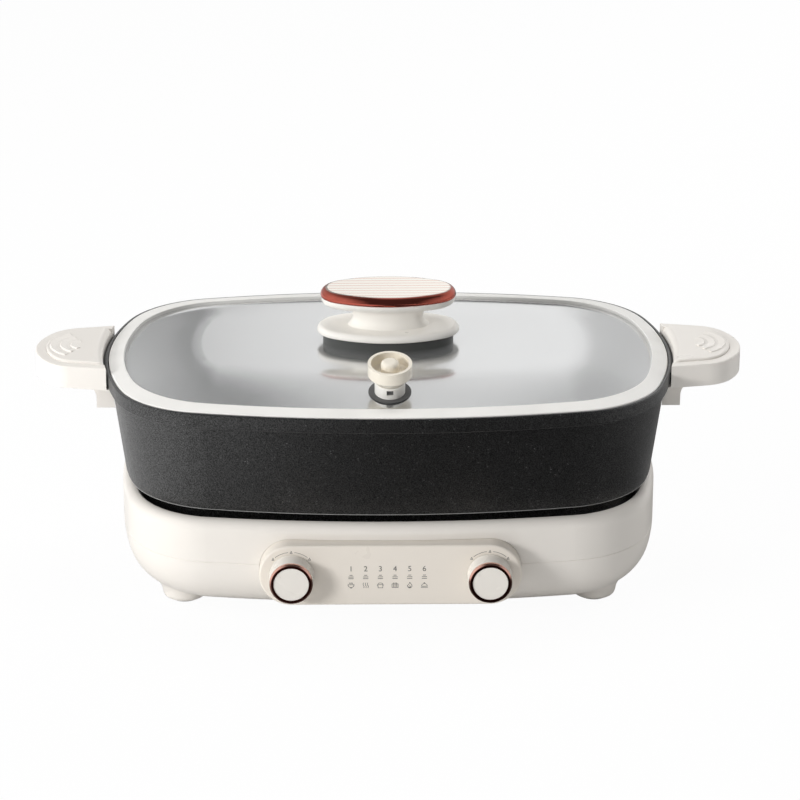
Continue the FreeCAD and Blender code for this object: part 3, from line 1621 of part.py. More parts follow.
def make_handle_cover(word):
    """Cover that fills the recess in a grip, with four raised arcs for the thumb."""
    body = new_body(f"{word}_handle_cover")
    plan = handle_plan(
        body, f"{word}_cover_plan", "(cover_margin + cover_gap)", "cover_seat_height"
    )
    pad(body, f"{word}_cover_block", plan, "cover_seat_depth + cover_proud")
    face = outline(body, f"{word}_cover_face", "pot_rim", "handle_gap", "band_bottom_height")
    cut(body, f"{word}_cover_end", face, "handle_top_height")
    pot_side = on_outline("pot_rim", "handle_gap", "cover_top_height")
    dress(body, f"{word}_cover_end_round", "Fillet", "cover_end_round", pot_side)
    dress(
        body, f"{word}_cover_round", "Fillet", "cover_round",
        lambda point: near(point.z, "cover_top_height") and not pot_side(point),
    )
    wells = circles(
        body, f"{word}_head_well_circles", "XY_Plane", "cover_seat_height",
        "handle_head_radius + screw_hole_gap",
        [("handle_screw_reach", f"{j} * handle_screw_spacing / 2") for j in (-1, 1)],
    )
    cut(body, f"{word}_head_wells", wells, "handle_head_height + screw_hole_gap")
    ridges = new_sketch(body, f"{word}_ridge_section", "XZ_Plane", "0")
    bind(ridges, **{"AttachmentOffset.Base.x": "ridge_centre_reach"})
    half = "ridge_width / 2"
    for index in range(int(number("ridge_count"))):
        first = 3 * index
        middle = f"ridge_first_radius + {index} * ridge_pitch"
        corners = [
            (f"{middle} - {half}", "cover_top_height"),
            (f"{middle} + {half}", "cover_top_height"),
            (f"{middle} + {half} * 0.7", "cover_top_height + ridge_rise"),
        ]
        points = [Vector(number(x), number(y), 0) for x, y in corners]
        for k in range(3):
            ridges.addGeometry(Part.LineSegment(points[k], points[(k + 1) % 3]), False)
        for k in range(3):
            ridges.addConstraint(
                Sketcher.Constraint("Coincident", first + k, END, first + (k + 1) % 3, START)
            )
        for k, (x, y) in enumerate(corners):
            pin_point(ridges, first + k, START, x, y)
    spin(body, f"{word}_ridges", ridges, "V_Axis", angle="ridge_angle")
    return turned(body, word)


def make_handle_pads():
    """Black strips between the pot's rim band and the grips."""
    pads = []
    for side, word in ((-1, "left"), (1, "right")):
        ring = new_body(f"{word}_pad_ring")
        outer = outline(
            ring, f"{word}_pad_outline", "pot_rim", "pad_outer_grow", "pad_bottom_height"
        )
        pad(ring, f"{word}_pad_block", outer, "pad_height")
        inner = outline(
            ring, f"{word}_pad_inner_outline", "pot_rim", "pad_inner_grow", "pad_bottom_height"
        )
        cut(ring, f"{word}_pad_hollow", inner, "2 * pad_height")
        keep = block(
            f"{word}_pad_keep", "pot_half_length", "2 * pad_half_width", "pad_height",
            f"{side} * pot_half_length", "0", "pad_bottom_height",
        )
        lug = block(
            f"{word}_pad_lug", "pot_half_length", "2 * (lug_half_width + lug_gap)",
            "lug_thickness + 2 * lug_gap", f"{side} * pot_half_length", "0",
            "lug_top_height - lug_thickness - lug_gap",
        )
        strip = doc.addObject("Part::Common", f"{word}_pad_strip")
        strip.Base = ring
        strip.Tool = keep
        piece = subtract(f"{word}_handle_pad", strip, lug)
        piece.Label = f"{word}_handle_pad"
        pads.append(piece)
    return pads


def make_handle_screws(side, word):
    places = [
        (f"{side} * handle_screw_reach", f"{j} * handle_screw_spacing / 2", "cover_seat_height")
        for j in (-1, 1)
    ]
    return screws(
        f"{word}_handle_screws", places, "handle_screw_radius",
        "cover_seat_height - lug_top_height + handle_screw_grip",
        "handle_head_radius", "handle_head_height", True,
    )


# ---------------------------------------------------------------- lid


def make_lid_rim():
    """Silicone ring that rises inwards, with a slot for the edge of the glass."""
    body = new_body("lid_rim")
    outer = outline(body, "lid_rim_outline", "pot_rim", "lid_outer_grow", "lid_seat_height")
    pad(body, "lid_rim_block", outer, "lid_edge_height")
    loft(body, "lid_rim_slope", [
        outline(body, "slope_low_outline", "pot_rim", "lid_outer_grow", "lid_shoulder_height"),
        outline(body, "slope_high_outline", "window", "lid_rim_land", "lid_top_height"),
    ], ruled=True)
    inner = outline(body, "lid_rim_inner_outline", "window", "no_grow", "lid_seat_height")
    cut(body, "lid_rim_hole", inner, "2 * lid_rim_height")
    dress(
        body, "lid_rim_outer_round", "Fillet", "lid_rim_round",
        on_outline("pot_rim", "lid_outer_grow", "lid_shoulder_height"),
    )
    dress(
        body, "lid_rim_inner_round", "Fillet", "lid_rim_inner_round",
        on_outline("window", "no_grow", "lid_top_height"),
    )
    slot = outline(body, "glass_slot_outline", "window", "glass_cover", "glass_bottom_height")
    cut(body, "glass_slot", slot, "glass_thickness")
    return body


def dome_sections(body, name, drop):
    """Outlines up the side of the dome, whose slope falls evenly to nothing at the top."""
    steps = 4
    made = []
    for k in range(steps + 1):
        share = f"({k} / {steps})"
        grow = f"(dome_start_grow - dome_run * {share})"
        height = f"glass_edge_height - {drop} + dome_rise * (1 - (1 - {share}) ^ 2)"
        made.append(outline(body, f"{name}_{k}", "window", grow, height))
    return made


def make_lid_glass():
    """Glass with a flat edge in the ring and a low dome."""
    body = new_body("lid_glass")
    edge = outline(body, "glass_outline", "window", "glass_cover", "glass_bottom_height")
    pad(body, "glass_edge", edge, "glass_thickness")
    loft(body, "dome_outside", dome_sections(body, "dome_outline", "0"))
    loft(
        body, "dome_inside",
        dome_sections(body, "dome_inner_outline", "glass_thickness"), take_away=True,
    )
    hole = circles(
        body, "knob_hole_circle", "XY_Plane", "glass_bottom_height",
        "lid_screw_radius + lid_hole_gap", [("0", "0")],
    )
    cut(body, "knob_hole", hole, "4 * glass_thickness")
    bore = body.newObject("PartDesign::SubtractiveCylinder", "valve_hole")
    plane = [f for f in body.Origin.OriginFeatures if f.Role == "XY_Plane"][0]
    bore.AttachmentSupport = [(plane, "")]
    bore.MapMode = "FlatFace"
    bore.AttachmentOffset = Placement(Vector(), Rotation(Vector(1, 0, 0), 10))
    deep = "4 * glass_thickness"
    bind(bore, **{
        "Radius": "valve_tube_radius + valve_tube_gap",
        "Height": deep,
        "AttachmentOffset.Rotation.Angle": "valve_tilt * 1 deg",
        "AttachmentOffset.Base.y": f"0 - valve_reach + {deep} / 2 * sin(valve_tilt)",
        "AttachmentOffset.Base.z": f"valve_height - {deep} / 2 * cos(valve_tilt)",
    })
    doc.recompute()
    return body


def make_lid_knob():
    """Oval handle in one moulding: flange, waisted neck and flared dish."""
    gasket = new_body("lid_gasket")
    shape = oval(gasket, "gasket_oval", "gasket", "dome_top_height")
    pad(gasket, "gasket_block", shape, "gasket_height")
    hole = circles(
        gasket, "gasket_hole_circle", "XY_Plane", "dome_top_height",
        "lid_screw_radius + screw_hole_gap", [("0", "0")],
    )
    cut(gasket, "gasket_hole", hole, "2 * gasket_height")
    body = new_body("lid_knob")
    flange = oval(body, "flange_oval", "flange", "flange_height")
    pad(body, "flange_block", flange, "flange_thickness")
    dress(
        body, "flange_top", "Fillet", "flange_top_round",
        lambda point: near(point.z, "neck_bottom_height"),
    )
    dress(
        body, "flange_bottom", "Fillet", "flange_bottom_round",
        lambda point: near(point.z, "flange_height"),
    )
    loft(body, "neck", [
        oval(body, "neck_foot_oval", "neck_foot", "neck_bottom_height - flange_thickness / 4"),
        oval(body, "waist_low_oval", "waist", "neck_bottom_height + neck_height * 0.35"),
        oval(body, "waist_high_oval", "waist", "neck_bottom_height + neck_height * 0.6"),
        oval(body, "neck_top_oval", "dish_foot", "dish_bottom_height"),
        oval(body, "dish_edge_oval", "dish", "dish_edge_height"),
    ])
    edge = oval(body, "dish_top_oval", "dish", "dish_edge_height")
    pad(body, "dish_rim", edge, "dish_edge")
    pilot = circles(
        body, "knob_pilot_circle", "XY_Plane", "flange_height", "lid_screw_radius",
        [("0", "0")],
    )
    cut(body, "knob_pilot", pilot, "lid_screw_reach + 1")
    cap = new_body("lid_knob_cap")
    cover = oval(cap, "cap_oval", "dish", "dish_top_height", "knob_cap_overhang")
    pad(cap, "cap_block", cover, "knob_cap_height")
    dress(
        cap, "cap_top_round", "Fillet", "knob_cap_round",
        lambda point: near(point.z, "dish_top_height + knob_cap_height"),
    )
    dress(
        cap, "cap_lower_round", "Fillet", "knob_cap_lower_round",
        lambda point: near(point.z, "dish_top_height"),
    )
    return [gasket, body, cap]


def make_lid_fasteners():
    underside = "dome_top_height - glass_thickness"
    disc = cylinder(
        "washer_disc", "lid_washer_radius", "lid_washer_thickness",
        "0", "0", f"{underside} - lid_washer_thickness",
    )
    hole = cylinder(
        "washer_hole", "lid_screw_radius", "lid_washer_thickness",
        "0", "0", f"{underside} - lid_washer_thickness",
    )
    washer = subtract("lid_washer", disc, hole)
    washer.Label = "lid_washer"
    bearing = f"{underside} - lid_washer_thickness"
    grip = "lid_washer_thickness + glass_thickness + gasket_height + lid_screw_reach"
    screw = screws(
        "lid_knob_screw", [("0", "0", bearing)], "lid_screw_radius", grip,
        "lid_head_radius", "lid_head_height", False,
    )
    return [washer, screw]


# ---------------------------------------------------------------- steam valve


def on_dome(body):
    """Stand a piece on the dome, square to the glass at the valve's place."""
    body.Placement = Placement(Vector(), Rotation(Vector(1, 0, 0), 10))
    body.setExpression("Placement.Rotation.Angle", formula("valve_tilt * 1 deg"))
    put(body, "0", "0 - valve_reach", "valve_height")
    return body


def make_valve_seat():
    """Ring on the glass with a tube through it, a spigot for the cup and a steam window."""
    body = new_body("valve_seat")
    section = polygon(body, "seat_section", "XZ_Plane", "0", [
        ("valve_bore_radius", "0 - glass_thickness - valve_nut_gap - valve_nut_thickness - 1"),
        ("valve_tube_radius", "0 - glass_thickness - valve_nut_gap - valve_nut_thickness - 1"),
        ("valve_tube_radius", "0"),
        ("valve_ring_radius", "0"),
        ("valve_ring_radius", "valve_ring_height"),
        ("valve_spigot_radius", "valve_ring_height"),
        ("valve_spigot_radius", "valve_ring_height + valve_spigot_height"),
        ("valve_bore_radius", "valve_ring_height + valve_spigot_height"),
    ])
    spin(body, "seat_turn", section)
    dress(
        body, "seat_ring_round", "Fillet", "valve_ring_round",
        lambda point: near(point.z, "valve_ring_height")
        and near(math.hypot(point.x, point.y), "valve_ring_radius"),
    )
    window = polygon(
        body, "seat_window_sketch", "XZ_Plane", "valve_ring_radius",
        box_corners(
            "0 - valve_window_width / 2", "valve_window_width / 2",
            "valve_ring_height - valve_window_drop - valve_window_height",
            "valve_ring_height - valve_window_drop",
        ),
    )
    cut(body, "seat_window", window, "valve_window_depth", along=False)
    return on_dome(body)


def make_valve_nut():
    body = new_body("valve_nut")
    top = "0 - glass_thickness - valve_nut_gap"
    section = polygon(body, "valve_nut_section", "XZ_Plane", "0", [
        ("valve_tube_radius", f"{top} - valve_nut_thickness"),
        ("valve_nut_radius", f"{top} - valve_nut_thickness"),
        ("valve_nut_radius", top),
        ("valve_tube_radius", top),
    ])
    spin(body, "valve_nut_turn", section)
    return on_dome(body)


def make_valve_cup():
    """Cup with a post in its middle, turned by hand on the seat's spigot."""
    body = new_body("valve_cup")
    foot = "cup_lift"
    floor = f"{foot} + cup_floor"
    rim = f"{foot} + cup_height"
    section = polygon(body, "cup_section", "XZ_Plane", "0", [
        ("valve_spigot_radius + valve_fit", foot),
        ("cup_foot_radius", foot),
        ("cup_radius", f"{foot} + cup_cone_height"),
        ("cup_radius", rim),
        ("cup_radius - cup_wall", rim),
        ("cup_radius - cup_wall", f"{floor} + cup_wall"),
        ("cup_radius - 2 * cup_wall", floor),
        ("post_radius", floor),
        ("post_radius", f"{foot} + post_height"),
        ("0", f"{foot} + post_height"),
        ("0", f"{foot} + valve_spigot_height"),
        ("valve_spigot_radius + valve_fit", f"{foot} + valve_spigot_height"),
    ])
    spin(body, "cup_turn", section)
    dress(
        body, "post_top", "Fillet", "post_round",
        lambda point: near(point.z - number(foot), "post_height")
        and near(math.hypot(point.x, point.y), "post_radius"),
    )
    return on_dome(body)


# ---------------------------------------------------------------- all the pieces


def build():
    pieces = [
        make_lower_housing(),
        make_upper_housing(),
        make_foot_pads(),
        make_housing_screws(),
        make_heat_shield(),
        make_heating_plate(),
        make_standoffs(),
        make_plate_screws(),
        make_pan_screws(),
        make_heating_element(),
        make_terminals(),
        make_thermostat_cap(),
        make_control_panel(),
        make_switch_nuts(),
        make_inlet(),
        make_inlet_pins(),
        make_pot(),
        make_lid_rim(),
        make_lid_glass(),
        make_valve_seat(),
        make_valve_nut(),
        make_valve_cup(),
    ]
    pieces += make_thermostat()
    pieces += make_handle_pads()
    pieces += make_lid_knob()
    pieces += make_lid_fasteners()
    for side, word in ((-1, "left"), (1, "right")):
        pieces.append(make_switch(side, word))
        pieces += make_knob(side, word)
        pieces.append(make_handle_grip(word))
        pieces.append(make_handle_cover(word))
        pieces.append(make_handle_screws(side, word))
    return pieces


def check(pieces):
    """Stop if anything in the document failed or a piece is not a sound solid."""
    for thing in doc.Objects:
        if "Invalid" in thing.State or "Error" in thing.State:
            raise RuntimeError(f"{thing.Label} failed: {thing.State}")
    for piece in pieces:
        if piece.Shape.isNull() or not piece.Shape.isValid() or not piece.Shape.Solids:
            raise RuntimeError(f"{piece.Label} is not a sound solid")


def write(pieces):
    os.makedirs("parts", exist_ok=True)
    for piece in pieces:
        piece.Shape.exportStep(os.path.join("parts", piece.Label + ".step"))


pieces = build()
doc.recompute()
check(pieces)
write(pieces)
for piece in sorted(pieces, key=lambda p: p.Label):
    print(piece.Label, len(piece.Shape.Solids), round(piece.Shape.Volume, 1))
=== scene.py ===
import json
import math

import bmesh
import bpy
from mathutils import Matrix, Vector


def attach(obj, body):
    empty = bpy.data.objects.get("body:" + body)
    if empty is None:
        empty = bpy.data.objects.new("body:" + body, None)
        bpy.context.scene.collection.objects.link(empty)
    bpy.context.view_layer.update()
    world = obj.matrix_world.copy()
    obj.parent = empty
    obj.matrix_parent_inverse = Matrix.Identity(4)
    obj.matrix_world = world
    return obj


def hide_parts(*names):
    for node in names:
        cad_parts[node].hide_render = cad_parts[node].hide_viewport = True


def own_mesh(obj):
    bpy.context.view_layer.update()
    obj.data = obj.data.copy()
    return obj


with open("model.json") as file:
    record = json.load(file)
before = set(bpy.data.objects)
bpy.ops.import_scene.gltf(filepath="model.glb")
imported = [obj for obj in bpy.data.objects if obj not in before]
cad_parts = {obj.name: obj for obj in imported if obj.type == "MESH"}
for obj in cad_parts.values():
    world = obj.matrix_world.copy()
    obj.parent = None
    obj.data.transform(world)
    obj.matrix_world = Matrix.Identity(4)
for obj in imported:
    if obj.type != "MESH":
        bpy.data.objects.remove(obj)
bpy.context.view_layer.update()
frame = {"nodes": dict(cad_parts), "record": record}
scene = bpy.context.scene
MM = 0.001
PANEL_MIDDLE = 43.6
KNOB_X = 65.5
VALVE_PLACE = (0.0, -90.0, 158.536)
VALVE_TILT = 12.442
RIM_LAND = 152.42
# Heights of the pale band painted on the pot's turned bottom line as a painted highlight.
FOOT_LINE = (78.75, 79.55)
STEP_LINE = (141.7, 142.7)


# ---------------------------------------------------------------- camera

# The camera looks down at the middle of the pot's rim from slightly left of the front.
AIM = Vector((0.0, 0.0, 0.154))
DISTANCE = 2.2
ELEVATION = math.radians(20.5)
SWING = math.radians(-0.7)
FRAME_PIXELS = 800
FOCAL_PIXELS = 3205
AIM_PIXEL = (388.2, 350.3)


def make_camera():
    """The camera, with its frame shifted so that the aim lies at the named pixel."""
    data = bpy.data.cameras.new("camera")
    camera = bpy.data.objects.new("camera", data)
    scene.collection.objects.link(camera)
    level = DISTANCE * math.cos(ELEVATION)
    camera.location = AIM + Vector((
        level * math.sin(SWING),
        -level * math.cos(SWING),
        DISTANCE * math.sin(ELEVATION),
    ))
    camera.rotation_euler = (math.pi / 2 - ELEVATION, 0.0, SWING)
    data.sensor_fit = "HORIZONTAL"
    data.sensor_width = 36.0
    data.lens = FOCAL_PIXELS / FRAME_PIXELS * data.sensor_width
    data.shift_x = (FRAME_PIXELS / 2 - AIM_PIXEL[0]) / FRAME_PIXELS
    data.shift_y = (AIM_PIXEL[1] - FRAME_PIXELS / 2) / FRAME_PIXELS
    data.clip_start = 0.05
    scene.camera = camera


# ---------------------------------------------------------------- material helpers


class Maker:
    """A material's node tree with short calls for the nodes it is made of."""

    def __init__(self, name):
        self.material = bpy.data.materials.new(name)
        self.material.use_nodes = True
        self.tree = self.material.node_tree
        self.shader = self.tree.nodes["Principled BSDF"]
        self.place = self.tree.nodes.new("ShaderNodeTexCoord").outputs["Object"]

    def link(self, out, into):
        self.tree.links.new(out, into)

    def node(self, kind, **settings):
        made = self.tree.nodes.new(kind)
        for name, value in settings.items():
            setattr(made, name, value)
        return made

    def noise(self, scale, detail=2.0, roughness=0.5, vector=None):
        made = self.node("ShaderNodeTexNoise")
        made.inputs["Scale"].default_value = scale
        made.inputs["Detail"].default_value = detail
        made.inputs["Roughness"].default_value = roughness
        self.link(vector or self.place, made.inputs["Vector"])
        return made.outputs["Fac"]

    def cells(self, scale):
        made = self.node("ShaderNodeTexVoronoi")
        made.inputs["Scale"].default_value = scale
        self.link(self.place, made.inputs["Vector"])
        return made

    def stretch(self, x, y, z):
        made = self.node("ShaderNodeMapping")
        made.inputs["Scale"].default_value = (x, y, z)
        self.link(self.place, made.inputs["Vector"])
        return made.outputs["Vector"]

    def ramp(self, value, stops):
        made = self.node("ShaderNodeValToRGB")
        elements = made.color_ramp.elements
        while len(elements) < len(stops):
            elements.new(0.5)
        for element, (position, colour) in zip(elements, stops):
            element.position = position
            element.color = (*colour, 1.0)
        self.link(value, made.inputs["Fac"])
        return made.outputs["Color"]

    def shade(self, value, low, high, start=0.0, end=1.0):
        """A grey level that runs from low to high as a value runs from start to end."""
        made = self.node("ShaderNodeMapRange")
        made.inputs["From Min"].default_value = start
        made.inputs["From Max"].default_value = end
        made.inputs["To Min"].default_value = low
        made.inputs["To Max"].default_value = high
        self.link(value, made.inputs["Value"])
        return made.outputs["Result"]

    def mix(self, share, first, second):
        made = self.node("ShaderNodeMix", data_type="RGBA")
        for socket, value in ((0, share), (6, first), (7, second)):
            into = made.inputs[socket]
            if isinstance(value, bpy.types.NodeSocket):
                self.link(value, into)
            elif isinstance(value, (int, float)):
                into.default_value = value
            else:
                into.default_value = (*value, 1.0)
        return made.outputs[2]

    def math(self, operation, first, second=None):
        made = self.node("ShaderNodeMath", operation=operation)
        for index, value in enumerate((first, second)):
            if isinstance(value, bpy.types.NodeSocket):
                self.link(value, made.inputs[index])
            elif value is not None:
                made.inputs[index].default_value = value
        return made.outputs[0]

    def axis(self, index, source=None):
        made = self.node("ShaderNodeSeparateXYZ")
        self.link(source or self.place, made.inputs[0])
        return made.outputs[index]

    def normal_axis(self, index):
        made = self.node("ShaderNodeNewGeometry")
        return self.axis(index, made.outputs["Normal"])

    def bump(self, height, depth, under=None):
        made = self.node("ShaderNodeBump")
        made.inputs["Distance"].default_value = depth
        self.link(height, made.inputs["Height"])
        if under:
            self.link(under, made.inputs["Normal"])
        return made.outputs["Normal"]

    def finish(self, colour=None, roughness=None, normal=None, **constants):
        for value, name in ((colour, "Base Color"), (roughness, "Roughness")):
            socket = self.shader.inputs[name]
            if isinstance(value, bpy.types.NodeSocket):
                self.link(value, socket)
            elif isinstance(value, (int, float)):
                socket.default_value = value
            elif value is not None:
                socket.default_value = (*value, 1.0)
        if normal:
            self.link(normal, self.shader.inputs["Normal"])
        for name, value in constants.items():
            socket = name.replace("_", " ").title().replace("Ior", "IOR")
            self.shader.inputs[socket].default_value = value
        return self.material


def moulded(name, colour, gloss, coat):
    """Satin moulded plastic: faint flow mottling, fine orange peel and a light coat."""
    make = Maker(name)
    flow = make.noise(45.0, 2.0)
    fine = make.noise(2600.0, 2.0)
    peel = make.noise(420.0, 2.0)
    darker = tuple(c * 0.985 for c in colour)
    base = make.mix(make.shade(flow, 0.0, 1.0, 0.1, 0.9), darker, colour)
    rough = make.shade(make.noise(60.0, 2.0), gloss - 0.06, gloss + 0.08, 0.1, 0.9)
    normal = make.bump(peel, 0.000035)
    normal = make.bump(fine, 0.000012, under=normal)
    return make.finish(
        base, rough, normal, coat_weight=coat, coat_roughness=0.12, specular_ior_level=0.45
    )


def rubbery(name, colour, rough):
    """Silicone or rubber: soft sheen, fine matt grain and a little dust tone."""
    make = Maker(name)
    tone = make.noise(35.0, 4.0)
    base = make.mix(make.shade(tone, 0.0, 1.0, 0.3, 0.7), tuple(c * 0.93 for c in colour), colour)
    level = make.shade(make.noise(90.0), rough - 0.06, rough + 0.06, 0.3, 0.7)
    normal = make.bump(make.noise(1500.0, 3.0), 0.00003)
    return make.finish(base, level, normal, sheen_weight=0.08, specular_ior_level=0.4)


def nonstick():
    """Black non-stick coat with pale flecks, polished dark on the rim's top, dull in the
    step under the rim band, and a pale grey band on the turned line at the bottom that is a
    painted highlight."""
    make = Maker("nonstick_coat")
    fleck = make.cells(620.0)
    size = make.shade(make.noise(900.0, 1.0), 0.02, 0.22, 0.35, 0.7)
    shown = make.math("LESS_THAN", fleck.outputs["Distance"], size)
    picked = make.math("GREATER_THAN", make.axis(0, fleck.outputs["Color"]), 0.62)
    flecks = make.math("MULTIPLY", shown, picked)
    ground = make.ramp(make.noise(900.0, 2.0), [(0.40, (0.001,) * 3), (0.62, (0.007,) * 3)])
    coat = make.mix(make.math("MULTIPLY", flecks, 0.6), ground, (0.28, 0.28, 0.28))
    height = make.axis(2)
    top = make.math("GREATER_THAN", height, RIM_LAND * MM)
    faced = make.node("ShaderNodeVectorMath", operation="DOT_PRODUCT")
    make.link(make.place, faced.inputs[0])
    make.link(make.node("ShaderNodeNewGeometry").outputs["Normal"], faced.inputs[1])
    outside = make.math("GREATER_THAN", faced.outputs["Value"], 0.0)
    foot, step = (
        make.math(
            "MULTIPLY",
            make.math("MULTIPLY", make.math("GREATER_THAN", height, low * MM), outside),
            make.math("LESS_THAN", height, high * MM),
        )
        for low, high in (FOOT_LINE, STEP_LINE)
    )
    # Pale grey on the turned bottom line: a painted highlight along that line, not the coat's
    # colour.
    turned = make.mix(make.noise(500.0, 2.0), (0.20, 0.20, 0.20), (0.34, 0.34, 0.33))
    polished = make.mix(make.noise(700.0, 3.0), (0.030, 0.030, 0.030), (0.055, 0.055, 0.056))
    colour = make.mix(foot, make.mix(top, coat, polished), turned)
    rough = make.shade(make.noise(320.0, 2.0), 0.36, 0.48, 0.3, 0.7)
    normal = make.bump(make.noise(1300.0, 3.0), 0.00010)
    grit = make.ramp(make.noise(1500.0, 1.0), [(0.36, (0.28,) * 3), (0.64, (1.0,) * 3)])
    tint = make.mix(step, grit, (0.08, 0.08, 0.08))
    make.link(tint, make.shader.inputs["Specular Tint"])
    normal = make.bump(flecks, 0.00002, under=normal)
    return make.finish(
        colour, rough, normal, ior=1.7, specular_ior_level=1.0, sheen_weight=0.2,
        sheen_roughness=0.4
    )


def brushed(name, colour, axis, rough=0.3):
    """Metal with fine lines along one axis."""
    make = Maker(name)
    scale = [900.0, 900.0, 900.0]
    scale[axis] = 12.0
    lines = make.noise(1.0, 3.0, 0.6, make.stretch(*scale))
    base = make.mix(lines, tuple(c * 0.82 for c in colour), colour)
    level = make.shade(lines, rough - 0.08, rough + 0.1, 0.3, 0.7)
    normal = make.bump(lines, 0.00002)
    return make.finish(base, level, normal, metallic=1.0)


def cast(name, colour):
    """Cast or turned metal with a fine grain."""
    make = Maker(name)
    grain = make.noise(700.0, 4.0)
    base = make.mix(grain, tuple(c * 0.8 for c in colour), colour)
    level = make.shade(grain, 0.35, 0.55, 0.3, 0.7)
    return make.finish(base, level, make.bump(grain, 0.00004), metallic=1.0)


def rose_gold_cap():
    """Polished rose gold with fine lengthwise lines on top; the upward-facing top painted pale as
    a painted reflection and the sloping sides painted deep red-brown as a painted dark
    reflection.
    """
    make = Maker("rose_gold_cap")
    lines = make.node("ShaderNodeTexWave", wave_type="BANDS", bands_direction="Y")
    lines.inputs["Scale"].default_value = 62.0
    lines.inputs["Distortion"].default_value = 0.0
    make.link(make.place, lines.inputs["Vector"])
    line = make.shade(lines.outputs["Fac"], 0.0, 1.0, 0.82, 0.98)
    # Upward-facing share: it picks the painted pale reflection on top over the painted dark
    # reflection on the sides.
    up = make.shade(make.normal_axis(2), 0.0, 1.0, 0.93, 0.99)
    streak = make.noise(1.0, 3.0, 0.6, make.stretch(20.0, 1400.0, 1400.0))
    # Painted dark reflection for the sloping sides, then the painted pale reflection for the top.
    cap_dark_reflection = make.mix(streak, (0.42, 0.070, 0.048), (0.58, 0.17, 0.125))
    cap_pale_reflection = make.mix(streak, (0.95, 0.90, 0.82), (0.98, 0.95, 0.88))
    grooved = make.mix(line, cap_pale_reflection, (0.90, 0.62, 0.53))
    colour = make.mix(up, cap_dark_reflection, grooved)
    rough = make.shade(streak, 0.08, 0.16, 0.3, 0.7)
    groove = make.math("MULTIPLY", line, up)
    return make.finish(colour, rough, make.bump(groove, -0.00006), metallic=1.0)


def rose_gold_ring():
    """Turned rose gold with lines round the knob's axis: the inner part painted near black as a
    painted dark reflection, inside a pale rose gold outer border.
    """
    make = Maker("rose_gold_ring")
    streak = make.noise(1.0, 3.0, 0.6, make.stretch(300.0, 2500.0, 300.0))
    across = make.math("SUBTRACT", make.math("ABSOLUTE", make.axis(0)), KNOB_X * MM)
    upward = make.math("SUBTRACT", make.axis(2), PANEL_MIDDLE * MM)
    radius = make.math("SQRT", make.math(
        "ADD", make.math("MULTIPLY", across, across), make.math("MULTIPLY", upward, upward)
    ))
    # Within 13.2 mm of the knob's axis the ring is painted near black: a painted dark reflection.
    outer = make.shade(radius, 0.0, 1.0, 13.2 * MM, 13.5 * MM)
    ring_dark_reflection = make.mix(streak, (0.075, 0.013, 0.009), (0.13, 0.027, 0.019))
    pale = make.mix(streak, (0.70, 0.36, 0.29), (0.86, 0.55, 0.46))
    rough = make.shade(streak, 0.14, 0.26, 0.3, 0.7)
    colour = make.mix(outer, ring_dark_reflection, pale)
    return make.finish(colour, rough, make.bump(streak, 0.00001), metallic=1.0)


def lid_glass():
    """Clear toughened glass, faintly grey, with a trace of polishing haze."""
    make = Maker("lid_glass")
    haze = make.noise(14.0, 3.0)
    colour = make.mix(haze, (0.80, 0.81, 0.81), (0.88, 0.89, 0.89))
    rough = make.shade(haze, 0.13, 0.18, 0.3, 0.7)
    wave = make.bump(make.noise(9.0, 1.0), 0.00008)
    return make.finish(
        colour, rough, wave, metallic=0.55, ior=1.45, transmission_weight=0.7,
        coat_weight=1.0, coat_roughness=0.15, coat_ior=3.0
    )


def ceramic(name, colour):
    make = Maker(name)
    grain = make.noise(800.0, 4.0)
    base = make.mix(grain, tuple(c * 0.92 for c in colour), colour)
    return make.finish(base, make.shade(grain, 0.5, 0.7), make.bump(grain, 0.00003))


MATERIALS = {
    "base_cream": moulded("base_cream", (0.86, 0.82, 0.765), 0.34, 0.1),
    "panel_cream": moulded("panel_cream", (0.85, 0.79, 0.71), 0.30, 0.14),
    "knob_cream": moulded("knob_cream", (0.86, 0.82, 0.76), 0.26, 0.2),
    "handle_cream": moulded("handle_cream", (0.89, 0.85, 0.795), 0.30, 0.16),
    "valve_cream": moulded("valve_cream", (0.88, 0.82, 0.71), 0.30, 0.15),
    "valve_white": moulded("valve_white", (0.86, 0.84, 0.80), 0.34, 0.1),
    "silicone_cream": rubbery("silicone_cream", (0.93, 0.915, 0.88), 0.42),
    "gasket_grey": rubbery("gasket_grey", (0.085, 0.088, 0.085), 0.38),
    "seal_black": rubbery("seal_black", (0.02, 0.02, 0.02), 0.5),
    "foot_rubber": rubbery("foot_rubber", (0.20, 0.19, 0.18), 0.7),
    "nonstick_black": nonstick(),
    "lid_glass": lid_glass(),
    "rose_gold": rose_gold_ring(),
    "pan_steel": brushed("pan_steel", (0.62, 0.62, 0.61), 0),
    "plate_aluminium": cast("plate_aluminium", (0.55, 0.55, 0.56)),
    "element_steel": cast("element_steel", (0.22, 0.21, 0.21)),
    "probe_aluminium": brushed("probe_aluminium", (0.75, 0.75, 0.76), 0, 0.25),
    "guide_ceramic": ceramic("guide_ceramic", (0.78, 0.75, 0.68)),
    "steel": brushed("steel", (0.62, 0.62, 0.63), 2),
    "switch_black": rubbery("switch_black", (0.03, 0.03, 0.03), 0.45),
    "inlet_black": rubbery("inlet_black", (0.035, 0.035, 0.036), 0.42),
    "nut_brass": brushed("nut_brass", (0.72, 0.56, 0.33), 0),
    "pin_brass": brushed("pin_brass", (0.80, 0.64, 0.38), 1),
}


